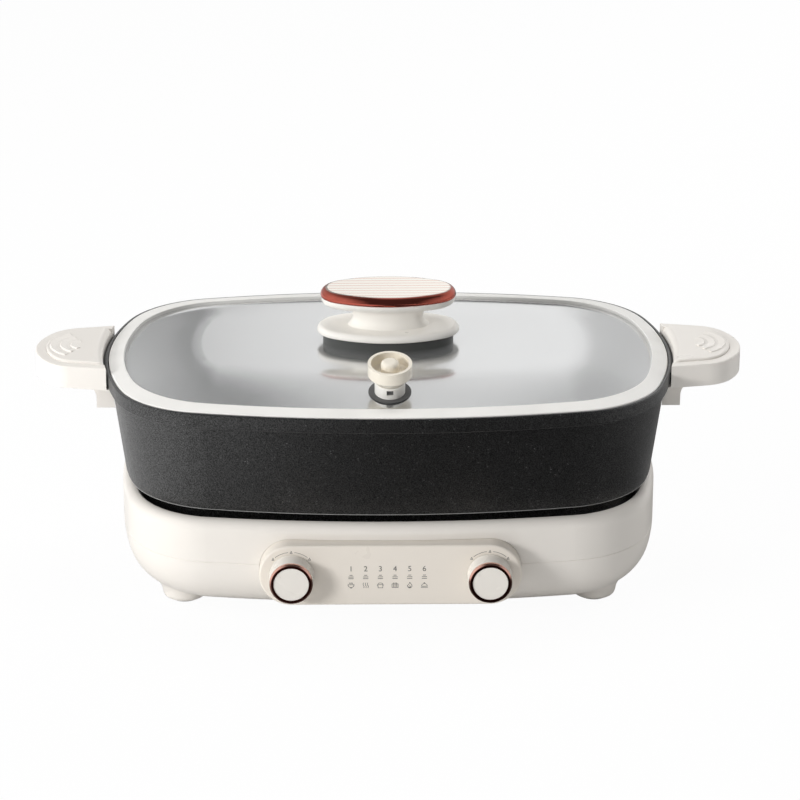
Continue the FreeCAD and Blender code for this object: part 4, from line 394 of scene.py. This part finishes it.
def dress_nodes():
    """Give every CAD node the material of its slot in the record, but the lid knob and its cap
    their own.
    """
    slots = {s["node"]: s["material_slot"] for s in frame["record"]["subparts"]}
    special = {
        "lid_knob_cap": rose_gold_cap(),
        # The lid knob's cream is the handles' cream painted lighter: painted light on the neck
        # and flange that sit in the cap's shade.
        "lid_knob": moulded("lid_knob_lit_cream", (0.97, 0.94, 0.885), 0.30, 0.16),
    }
    for name, thing in frame["nodes"].items():
        material = special.get(name) or MATERIALS[slots[name]]
        thing.data.materials.clear()
        thing.data.materials.append(material)


# ---------------------------------------------------------------- printed marks


def ink(name, colour):
    """Printed ink: slightly uneven, matt."""
    make = Maker(name)
    patch = make.noise(2500.0, 2.0)
    tone = make.mix(patch, tuple(c * 0.8 for c in colour), colour)
    return make.finish(tone, 0.55, make.bump(patch, 0.000004))


def add_mesh(name, mesh, body, material):
    thing = bpy.data.objects.new(name, mesh)
    scene.collection.objects.link(thing)
    mesh.materials.append(material)
    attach(thing, body)
    return thing


def stroke(mesh, points, width, closed=False):
    """A line of even width with square-cut ends, drawn in X and Z on a mesh, in millimetres."""
    count = len(points)
    sides = []
    for index, point in enumerate(points):
        back = points[(index - 1) % count] if closed or index else point
        ahead = points[(index + 1) % count] if closed or index < count - 1 else point
        before = (Vector(point) - Vector(back)).normalized()
        after = (Vector(ahead) - Vector(point)).normalized()
        along = (before + after).normalized()
        across = Vector((-along.y, along.x))
        reference = after if after.length else before
        spread = max(0.35, abs(along.dot(reference)))
        sides.append((Vector(point) + across * width / 2 / spread,
                      Vector(point) - across * width / 2 / spread))
    rings = []
    for left, right in sides:
        rings.append([
            mesh.verts.new((side.x * MM, depth * MM, side.y * MM))
            for side in (left, right)
            for depth in (0.0, -INK_THICKNESS)
        ])
    pairs = count if closed else count - 1
    for index in range(pairs):
        here, there = rings[index], rings[(index + 1) % count]
        mesh.faces.new((here[1], there[1], there[3], here[3]))
        mesh.faces.new((here[0], there[0], there[1], here[1]))
        mesh.faces.new((here[3], there[3], there[2], here[2]))
        mesh.faces.new((here[2], there[2], there[0], here[0]))
    if not closed:
        for ring in (rings[0], rings[-1]):
            mesh.faces.new((ring[0], ring[1], ring[3], ring[2]))


def arc_points(x, y, radius, start, end, steps=24, squash=1.0):
    return [
        (
            x + radius * math.cos(math.radians(start + (end - start) * k / steps)),
            y + radius * squash * math.sin(math.radians(start + (end - start) * k / steps)),
        )
        for k in range(steps + 1)
    ]


def wave_points(x, low, high, reach):
    return [
        (x + reach * math.sin(k / 10 * 2 * math.pi), low + (high - low) * k / 10)
        for k in range(11)
    ]


def bowl(lines):
    lines.append((arc_points(0, 0.5, 2.0, 180, 360), True))
    lines.append(([(-0.8, -1.9), (0.8, -1.9)], False))
    for x in (-0.8, 0.0, 0.8):
        lines.append((wave_points(x, 1.0, 2.1, 0.15), False))


def steam(lines):
    for x in (-1.4, 0.0, 1.4):
        lines.append((wave_points(x, -1.9, 1.9, 0.35), False))


def lidded_pot(lines):
    lines.append(([(-1.7, 0.5), (-1.5, -1.8), (1.5, -1.8), (1.7, 0.5)], True))
    lines.append((arc_points(0, 0.9, 1.6, 0, 180, squash=0.5), False))
    lines.append(([(-2.3, 0.2), (-1.7, 0.2)], False))
    lines.append(([(1.7, 0.2), (2.3, 0.2)], False))


def skewers(lines):
    lines.append(([(-2.0, -1.6), (2.0, -1.6), (2.0, 1.0), (-2.0, 1.0)], True))
    for x in (-1.0, 0.0, 1.0):
        lines.append(([(x, -1.6), (x, 2.0)], False))


def flame(lines):
    lines.append((
        [(0.0, 2.1), (0.9, 1.0), (1.5, -0.1), (1.4, -1.0), (0.8, -1.8), (0.0, -2.0),
         (-0.8, -1.8), (-1.4, -1.0), (-1.5, -0.1), (-0.7, 0.5)],
        True,
    ))
    lines.append((arc_points(0, -1.1, 0.6, 0, 360, 14)[:-1], True))


def dome(lines):
    lines.append((arc_points(0, -0.8, 1.9, 0, 180), True))
    lines.append(([(-2.3, -1.6), (2.3, -1.6)], False))
    lines.append((arc_points(0, 1.5, 0.35, 0, 360, 10)[:-1], True))


SIGNS = [bowl, steam, lidded_pot, skewers, flame, dome]
PANEL_FACE = -129.5
COLUMN_PITCH = 9.7
COLUMN_MIDDLE = -1.9
SIGN_ROW = 36.5
BAR_ROW = 42.6
NUMBER_ROW = 48.3
DIAL_RADIUS = 17.0
LINE = 0.34
BAR_LINE = 0.42
ARC_LINE = 0.3
NUMBER_SIZE = 5.4
INK_THICKNESS = 0.03


def write_text(name, text, x, z, size, material):
    curve = bpy.data.curves.new(name, "FONT")
    curve.body = text
    curve.size = size * MM
    curve.extrude = 0.015 * MM
    curve.align_x = "CENTER"
    curve.align_y = "CENTER"
    thing = bpy.data.objects.new(name, curve)
    scene.collection.objects.link(thing)
    thing.rotation_euler = (math.pi / 2, 0, 0)
    thing.location = (x * MM, (PANEL_FACE - 0.02) * MM, z * MM)
    curve.materials.append(material)
    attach(thing, "base")


def make_labels():
    """Six numbered programmes, each with a bar and a sign, between the two dials."""
    grey = ink("label_ink", (0.11, 0.105, 0.10))
    for index, sign in enumerate(SIGNS):
        x = COLUMN_MIDDLE + (index - 2.5) * COLUMN_PITCH
        lines = []
        sign(lines)
        mesh = bmesh.new()
        for points, closed in lines:
            stroke(mesh, [(x + a, SIGN_ROW + b) for a, b in points], LINE, closed)
        for step, reach in ((1.2, 1.0), (0.0, 1.7), (-1.2, 1.7)):
            stroke(mesh, [(x - reach, BAR_ROW + step), (x + reach, BAR_ROW + step)], BAR_LINE)
        for vertex in mesh.verts:
            vertex.co.y += PANEL_FACE * MM
        data = bpy.data.meshes.new(f"sign_{index + 1}")
        mesh.normal_update()
        mesh.to_mesh(data)
        mesh.free()
        add_mesh(f"sign_{index + 1}", data, "base", grey)
        write_text(f"number_{index + 1}", str(index + 1), x, NUMBER_ROW, NUMBER_SIZE, grey)


def make_dials():
    """Over each knob two arcs and three small triangles, at the upper left, top and right."""
    grey = ink("dial_ink", (0.16, 0.15, 0.14))
    for word, side in (("left", -1), ("right", 1)):
        centre = side * KNOB_X
        mesh = bmesh.new()
        for start, end in ((129, 97), (83, 51)):
            points = arc_points(centre, PANEL_MIDDLE, DIAL_RADIUS, start, end)
            stroke(mesh, points, ARC_LINE)
        for angle in (135, 90, 45):
            turn = math.radians(angle)
            x = centre + DIAL_RADIUS * math.cos(turn)
            z = PANEL_MIDDLE + DIAL_RADIUS * math.sin(turn)
            stroke(mesh, [(x - 0.7, z - 0.7), (x, z + 0.8), (x + 0.7, z - 0.7)], LINE, True)
        for vertex in mesh.verts:
            vertex.co.y += PANEL_FACE * MM
        data = bpy.data.meshes.new(f"{word}_dial")
        mesh.normal_update()
        mesh.to_mesh(data)
        mesh.free()
        add_mesh(f"{word}_dial", data, "base", grey)


# ---------------------------------------------------------------- steam valve


# A thin dark disc round the valve seat's foot: painted shade on the glass round the seat.
SHADE_DISC_RADII = (10.15, 14.2)
SHADE_DISC_HEIGHTS = (0.05, 0.30)
SHADE_DISC_STEPS = 96
# A dark block filling the valve ring's window: painted shade inside the opening.
WINDOW_SHADE_MIDDLE = (0.0, -8.2, 5.1)
WINDOW_SHADE_SIZE = (4.36, 1.0, 3.76)


def make_valve_details():
    """A dark disc under the valve's seat and a dark block in its window, both painted shade."""
    # One dark material for both pieces below: painted shade.
    rubber = rubbery("valve_painted_shade", (0.09, 0.09, 0.09), 0.42)
    turned = Matrix.Rotation(math.radians(VALVE_TILT), 4, "X")
    place = Matrix.Translation(Vector(VALVE_PLACE) * MM) @ turned
    shade_disc = bmesh.new()
    rings = []
    inner, outer = SHADE_DISC_RADII
    low, high = SHADE_DISC_HEIGHTS
    for radius, height in ((inner, low), (outer, low), (outer, high), (inner, high)):
        rings.append([
            shade_disc.verts.new(Vector((
                radius * math.cos(2 * math.pi * k / SHADE_DISC_STEPS),
                radius * math.sin(2 * math.pi * k / SHADE_DISC_STEPS),
                height,
            )) * MM)
            for k in range(SHADE_DISC_STEPS)
        ])
    for here, there in zip(rings, rings[1:] + rings[:1]):
        for k in range(SHADE_DISC_STEPS):
            after = (k + 1) % SHADE_DISC_STEPS
            shade_disc.faces.new((here[k], here[after], there[after], there[k]))
    # The block in the window, painted shade.
    window_shade = bmesh.new()
    middle = Matrix.Translation(Vector(WINDOW_SHADE_MIDDLE) * MM)
    size = Matrix.Diagonal((*(side * MM for side in WINDOW_SHADE_SIZE), 1.0))
    bmesh.ops.create_cube(window_shade, size=1.0, matrix=middle @ size)
    for name, made in (("valve_shade_disc", shade_disc), ("valve_window", window_shade)):
        made.transform(place)
        bmesh.ops.recalc_face_normals(made, faces=made.faces)
        data = bpy.data.meshes.new(name)
        made.to_mesh(data)
        made.free()
        add_mesh(name, data, "lid", rubber)


# ---------------------------------------------------------------- thermostat spring


SPRING_FOOT = 49.5
SPRING_TOP = 60.5
SPRING_TURNS = 4
COIL_RADIUS = 6.6
WIRE_RADIUS = 0.6


def make_spring():
    """The thermostat's coil spring, built at one fixed length; the real spring shortens as the
    sensing cap is pressed.
    """
    per_turn, around = 48, 16
    steps = SPRING_TURNS * per_turn
    rise = SPRING_TOP - SPRING_FOOT - 2 * WIRE_RADIUS
    wire = bmesh.new()
    rings = []
    for step in range(steps + 1):
        turn = Matrix.Rotation(2 * math.pi * step / per_turn, 4, "Z")
        height = SPRING_FOOT + WIRE_RADIUS + rise * step / steps
        rings.append([
            wire.verts.new(turn @ Vector((
                COIL_RADIUS + WIRE_RADIUS * math.cos(math.pi * (2 * k + 1) / around),
                0.0,
                height + WIRE_RADIUS * math.sin(math.pi * (2 * k + 1) / around),
            )) * MM)
            for k in range(around)
        ])
    for here, there in zip(rings, rings[1:]):
        for k in range(around):
            after = (k + 1) % around
            wire.faces.new((here[k], there[k], there[after], here[after]))
    wire.faces.new(rings[0])
    wire.faces.new(rings[-1][::-1])
    bmesh.ops.recalc_face_normals(wire, faces=wire.faces)
    for face in wire.faces:
        face.smooth = len(face.verts) == 4
    data = bpy.data.meshes.new("thermostat_coil")
    wire.to_mesh(data)
    wire.free()
    coil = add_mesh("thermostat_coil", data, "base", MATERIALS["steel"])
    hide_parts("thermostat_spring")
    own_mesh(coil)


# ---------------------------------------------------------------- light and floor


AMBIENT = 0.28
FLOOR_HEIGHT = -0.0002
FLOOR_GLOW = 0.96
# Brightness seen in gloss by direction: the backdrop across, the dark front across and the
# backdrop upwards. The stops are fitted to the main view.
BACKDROP_ACROSS = [
    (-1.0, 0.80), (-0.60, 0.75), (-0.32, 0.55), (-0.16, 0.38), (-0.086, 0.24), (-0.064, 0.46),
    (-0.042, 0.80), (-0.010, 0.92), (0.030, 1.0), (0.080, 1.0), (0.110, 0.88), (0.150, 0.64),
    (0.25, 0.62), (0.50, 0.80), (1.0, 0.80),
]
STUDIO_FRONT = [
    (-1.0, 1.0), (-0.65, 0.85), (-0.30, 0.10), (0.50, 0.08), (0.75, 0.55), (1.0, 0.80),
]
BACKDROP_UP = [(0.0, 0.9), (0.32, 1.0), (0.42, 1.0), (0.62, 0.85), (1.0, 0.7)]
# Brightness of the table seen in gloss, from left to right in metres.
TABLE_ACROSS = [
    (-0.38, 1.0), (-0.26, 0.80), (-0.10, 0.12), (0.05, 0.02), (0.35, 0.04), (0.60, 0.5),
]


# Each lamp's place, what it faces, width, height in metres and power in watts.
LAMPS = {
    "key": ((-2.0, -0.7, 1.3), (0, 0, 0.1), 1.4, 1.2, 15.5),
    "front": ((-1.75, -1.55, 0.75), (0, 0, 0.1), 0.6, 0.5, 28),
    "top": ((0.0, 0.5, 2.2), (0, 0, 0.15), 1.4, 0.9, 17),
    "side": ((1.6, 1.3, 0.7), (0, 0, 0.1), 0.8, 0.8, 15),
}


def add_lamp(name, where, towards, width, height, watts):
    data = bpy.data.lights.new(name, "AREA")
    data.shape = "RECTANGLE"
    data.size = width
    data.size_y = height
    data.energy = watts
    lamp = bpy.data.objects.new(name, data)
    scene.collection.objects.link(lamp)
    lamp.location = where
    aim = Vector(towards) - Vector(where)
    lamp.rotation_euler = aim.to_track_quat("-Z", "Y").to_euler()
    return lamp


def seen_rays(tree):
    """1 for camera, glossy and transmitted rays, 0 for the rest."""
    path = tree.nodes.new("ShaderNodeLightPath")
    value = path.outputs["Is Camera Ray"]
    for name in ("Is Glossy Ray", "Is Transmission Ray"):
        larger = tree.nodes.new("ShaderNodeMath")
        larger.operation = "MAXIMUM"
        tree.links.new(value, larger.inputs[0])
        tree.links.new(path.outputs[name], larger.inputs[1])
        value = larger.outputs[0]
    return value


def ramp_over(tree, value, stops):
    """A level that follows stops placed between -1 and 1."""
    half = tree.nodes.new("ShaderNodeMath")
    half.operation = "MULTIPLY_ADD"
    half.inputs[1].default_value = 0.5
    half.inputs[2].default_value = 0.5
    tree.links.new(value, half.inputs[0])
    made = tree.nodes.new("ShaderNodeValToRGB")
    elements = made.color_ramp.elements
    while len(elements) < len(stops):
        elements.new(0.5)
    for element, (position, level) in zip(elements, stops):
        element.position = (position + 1) / 2
        element.color = (level, level, level, 1.0)
    tree.links.new(half.outputs[0], made.inputs["Fac"])
    return made.outputs["Color"]


def make_world():
    """Even white light; in gloss the studio is dark but for a bright backdrop behind."""
    world = bpy.data.worlds.new("studio")
    scene.world = world
    world.use_nodes = True
    tree = world.node_tree
    background = tree.nodes["Background"]
    background.inputs["Color"].default_value = (1.0, 1.0, 1.0, 1.0)
    path = tree.nodes.new("ShaderNodeLightPath")
    place = tree.nodes.new("ShaderNodeTexCoord")
    away = tree.nodes.new("ShaderNodeSeparateXYZ")
    tree.links.new(place.outputs["Generated"], away.inputs[0])
    across = ramp_over(tree, away.outputs[0], BACKDROP_ACROSS)
    upward = ramp_over(tree, away.outputs[2], BACKDROP_UP)
    lean = tree.nodes.new("ShaderNodeVectorMath")
    lean.operation = "DOT_PRODUCT"
    lean.inputs[1].default_value = (0.0, 1.0, 0.12)
    tree.links.new(place.outputs["Generated"], lean.inputs[0])
    behind = tree.nodes.new("ShaderNodeMapRange")
    behind.interpolation_type = "SMOOTHSTEP"
    behind.inputs["From Min"].default_value = 0.0
    behind.inputs["From Max"].default_value = 0.6
    tree.links.new(lean.outputs["Value"], behind.inputs["Value"])
    both = tree.nodes.new("ShaderNodeMath")
    both.operation = "MULTIPLY"
    tree.links.new(across, both.inputs[0])
    tree.links.new(upward, both.inputs[1])
    glow = tree.nodes.new("ShaderNodeMix")
    tree.links.new(ramp_over(tree, away.outputs[0], STUDIO_FRONT), glow.inputs[2])
    tree.links.new(behind.outputs["Result"], glow.inputs[0])
    tree.links.new(both.outputs[0], glow.inputs[3])
    level = AMBIENT
    for ray, strength in (
        ("Is Glossy Ray", glow.outputs[0]),
        ("Is Transmission Ray", 1.0),
        ("Is Camera Ray", 1.0),
    ):
        choice = tree.nodes.new("ShaderNodeMix")
        tree.links.new(path.outputs[ray], choice.inputs[0])
        for socket, value in ((2, level), (3, strength)):
            if isinstance(value, float):
                choice.inputs[socket].default_value = value
            else:
                tree.links.new(value, choice.inputs[socket])
        level = choice.outputs[0]
    tree.links.new(level, background.inputs["Strength"])


def make_floor():
    """A pale table: white to the camera, graded in gloss, with the object's shadow on it."""
    mesh = bpy.data.meshes.new("floor")
    grid = bmesh.new()
    bmesh.ops.create_grid(grid, x_segments=4, y_segments=4, size=6.0)
    grid.to_mesh(mesh)
    grid.free()
    floor = bpy.data.objects.new("floor", mesh)
    scene.collection.objects.link(floor)
    floor.location = (0.0, 0.0, FLOOR_HEIGHT)
    material = bpy.data.materials.new("floor")
    material.use_nodes = True
    tree = material.node_tree
    tree.nodes.clear()
    out = tree.nodes.new("ShaderNodeOutputMaterial")
    matt = tree.nodes.new("ShaderNodeBsdfDiffuse")
    matt.inputs["Color"].default_value = (0.95, 0.95, 0.95, 1.0)
    white = tree.nodes.new("ShaderNodeEmission")
    white.inputs["Color"].default_value = (1.0, 1.0, 1.0, 1.0)
    place = tree.nodes.new("ShaderNodeNewGeometry")
    split = tree.nodes.new("ShaderNodeSeparateXYZ")
    tree.links.new(place.outputs["Position"], split.inputs[0])
    path = tree.nodes.new("ShaderNodeLightPath")
    gloss = tree.nodes.new("ShaderNodeMix")
    gloss.inputs[2].default_value = 1.0
    tree.links.new(path.outputs["Is Glossy Ray"], gloss.inputs[0])
    tree.links.new(ramp_over(tree, split.outputs[0], TABLE_ACROSS), gloss.inputs[3])
    tree.links.new(gloss.outputs[0], white.inputs["Strength"])
    share = tree.nodes.new("ShaderNodeMath")
    share.operation = "MULTIPLY"
    share.inputs[1].default_value = FLOOR_GLOW
    tree.links.new(seen_rays(tree), share.inputs[0])
    blend = tree.nodes.new("ShaderNodeMixShader")
    tree.links.new(share.outputs[0], blend.inputs[0])
    tree.links.new(matt.outputs[0], blend.inputs[1])
    tree.links.new(white.outputs[0], blend.inputs[2])
    tree.links.new(blend.outputs[0], out.inputs[0])
    mesh.materials.append(material)


def make_lights():
    """A large soft lamp at the left, a small one in front, two at the top and right rear."""
    for name, settings in LAMPS.items():
        lamp = add_lamp(name, *settings)
        lamp.visible_glossy = False


make_camera()
dress_nodes()
make_labels()
make_dials()
make_valve_details()
make_spring()
make_world()
make_floor()
make_lights()
scene.view_settings.view_transform = "Standard"
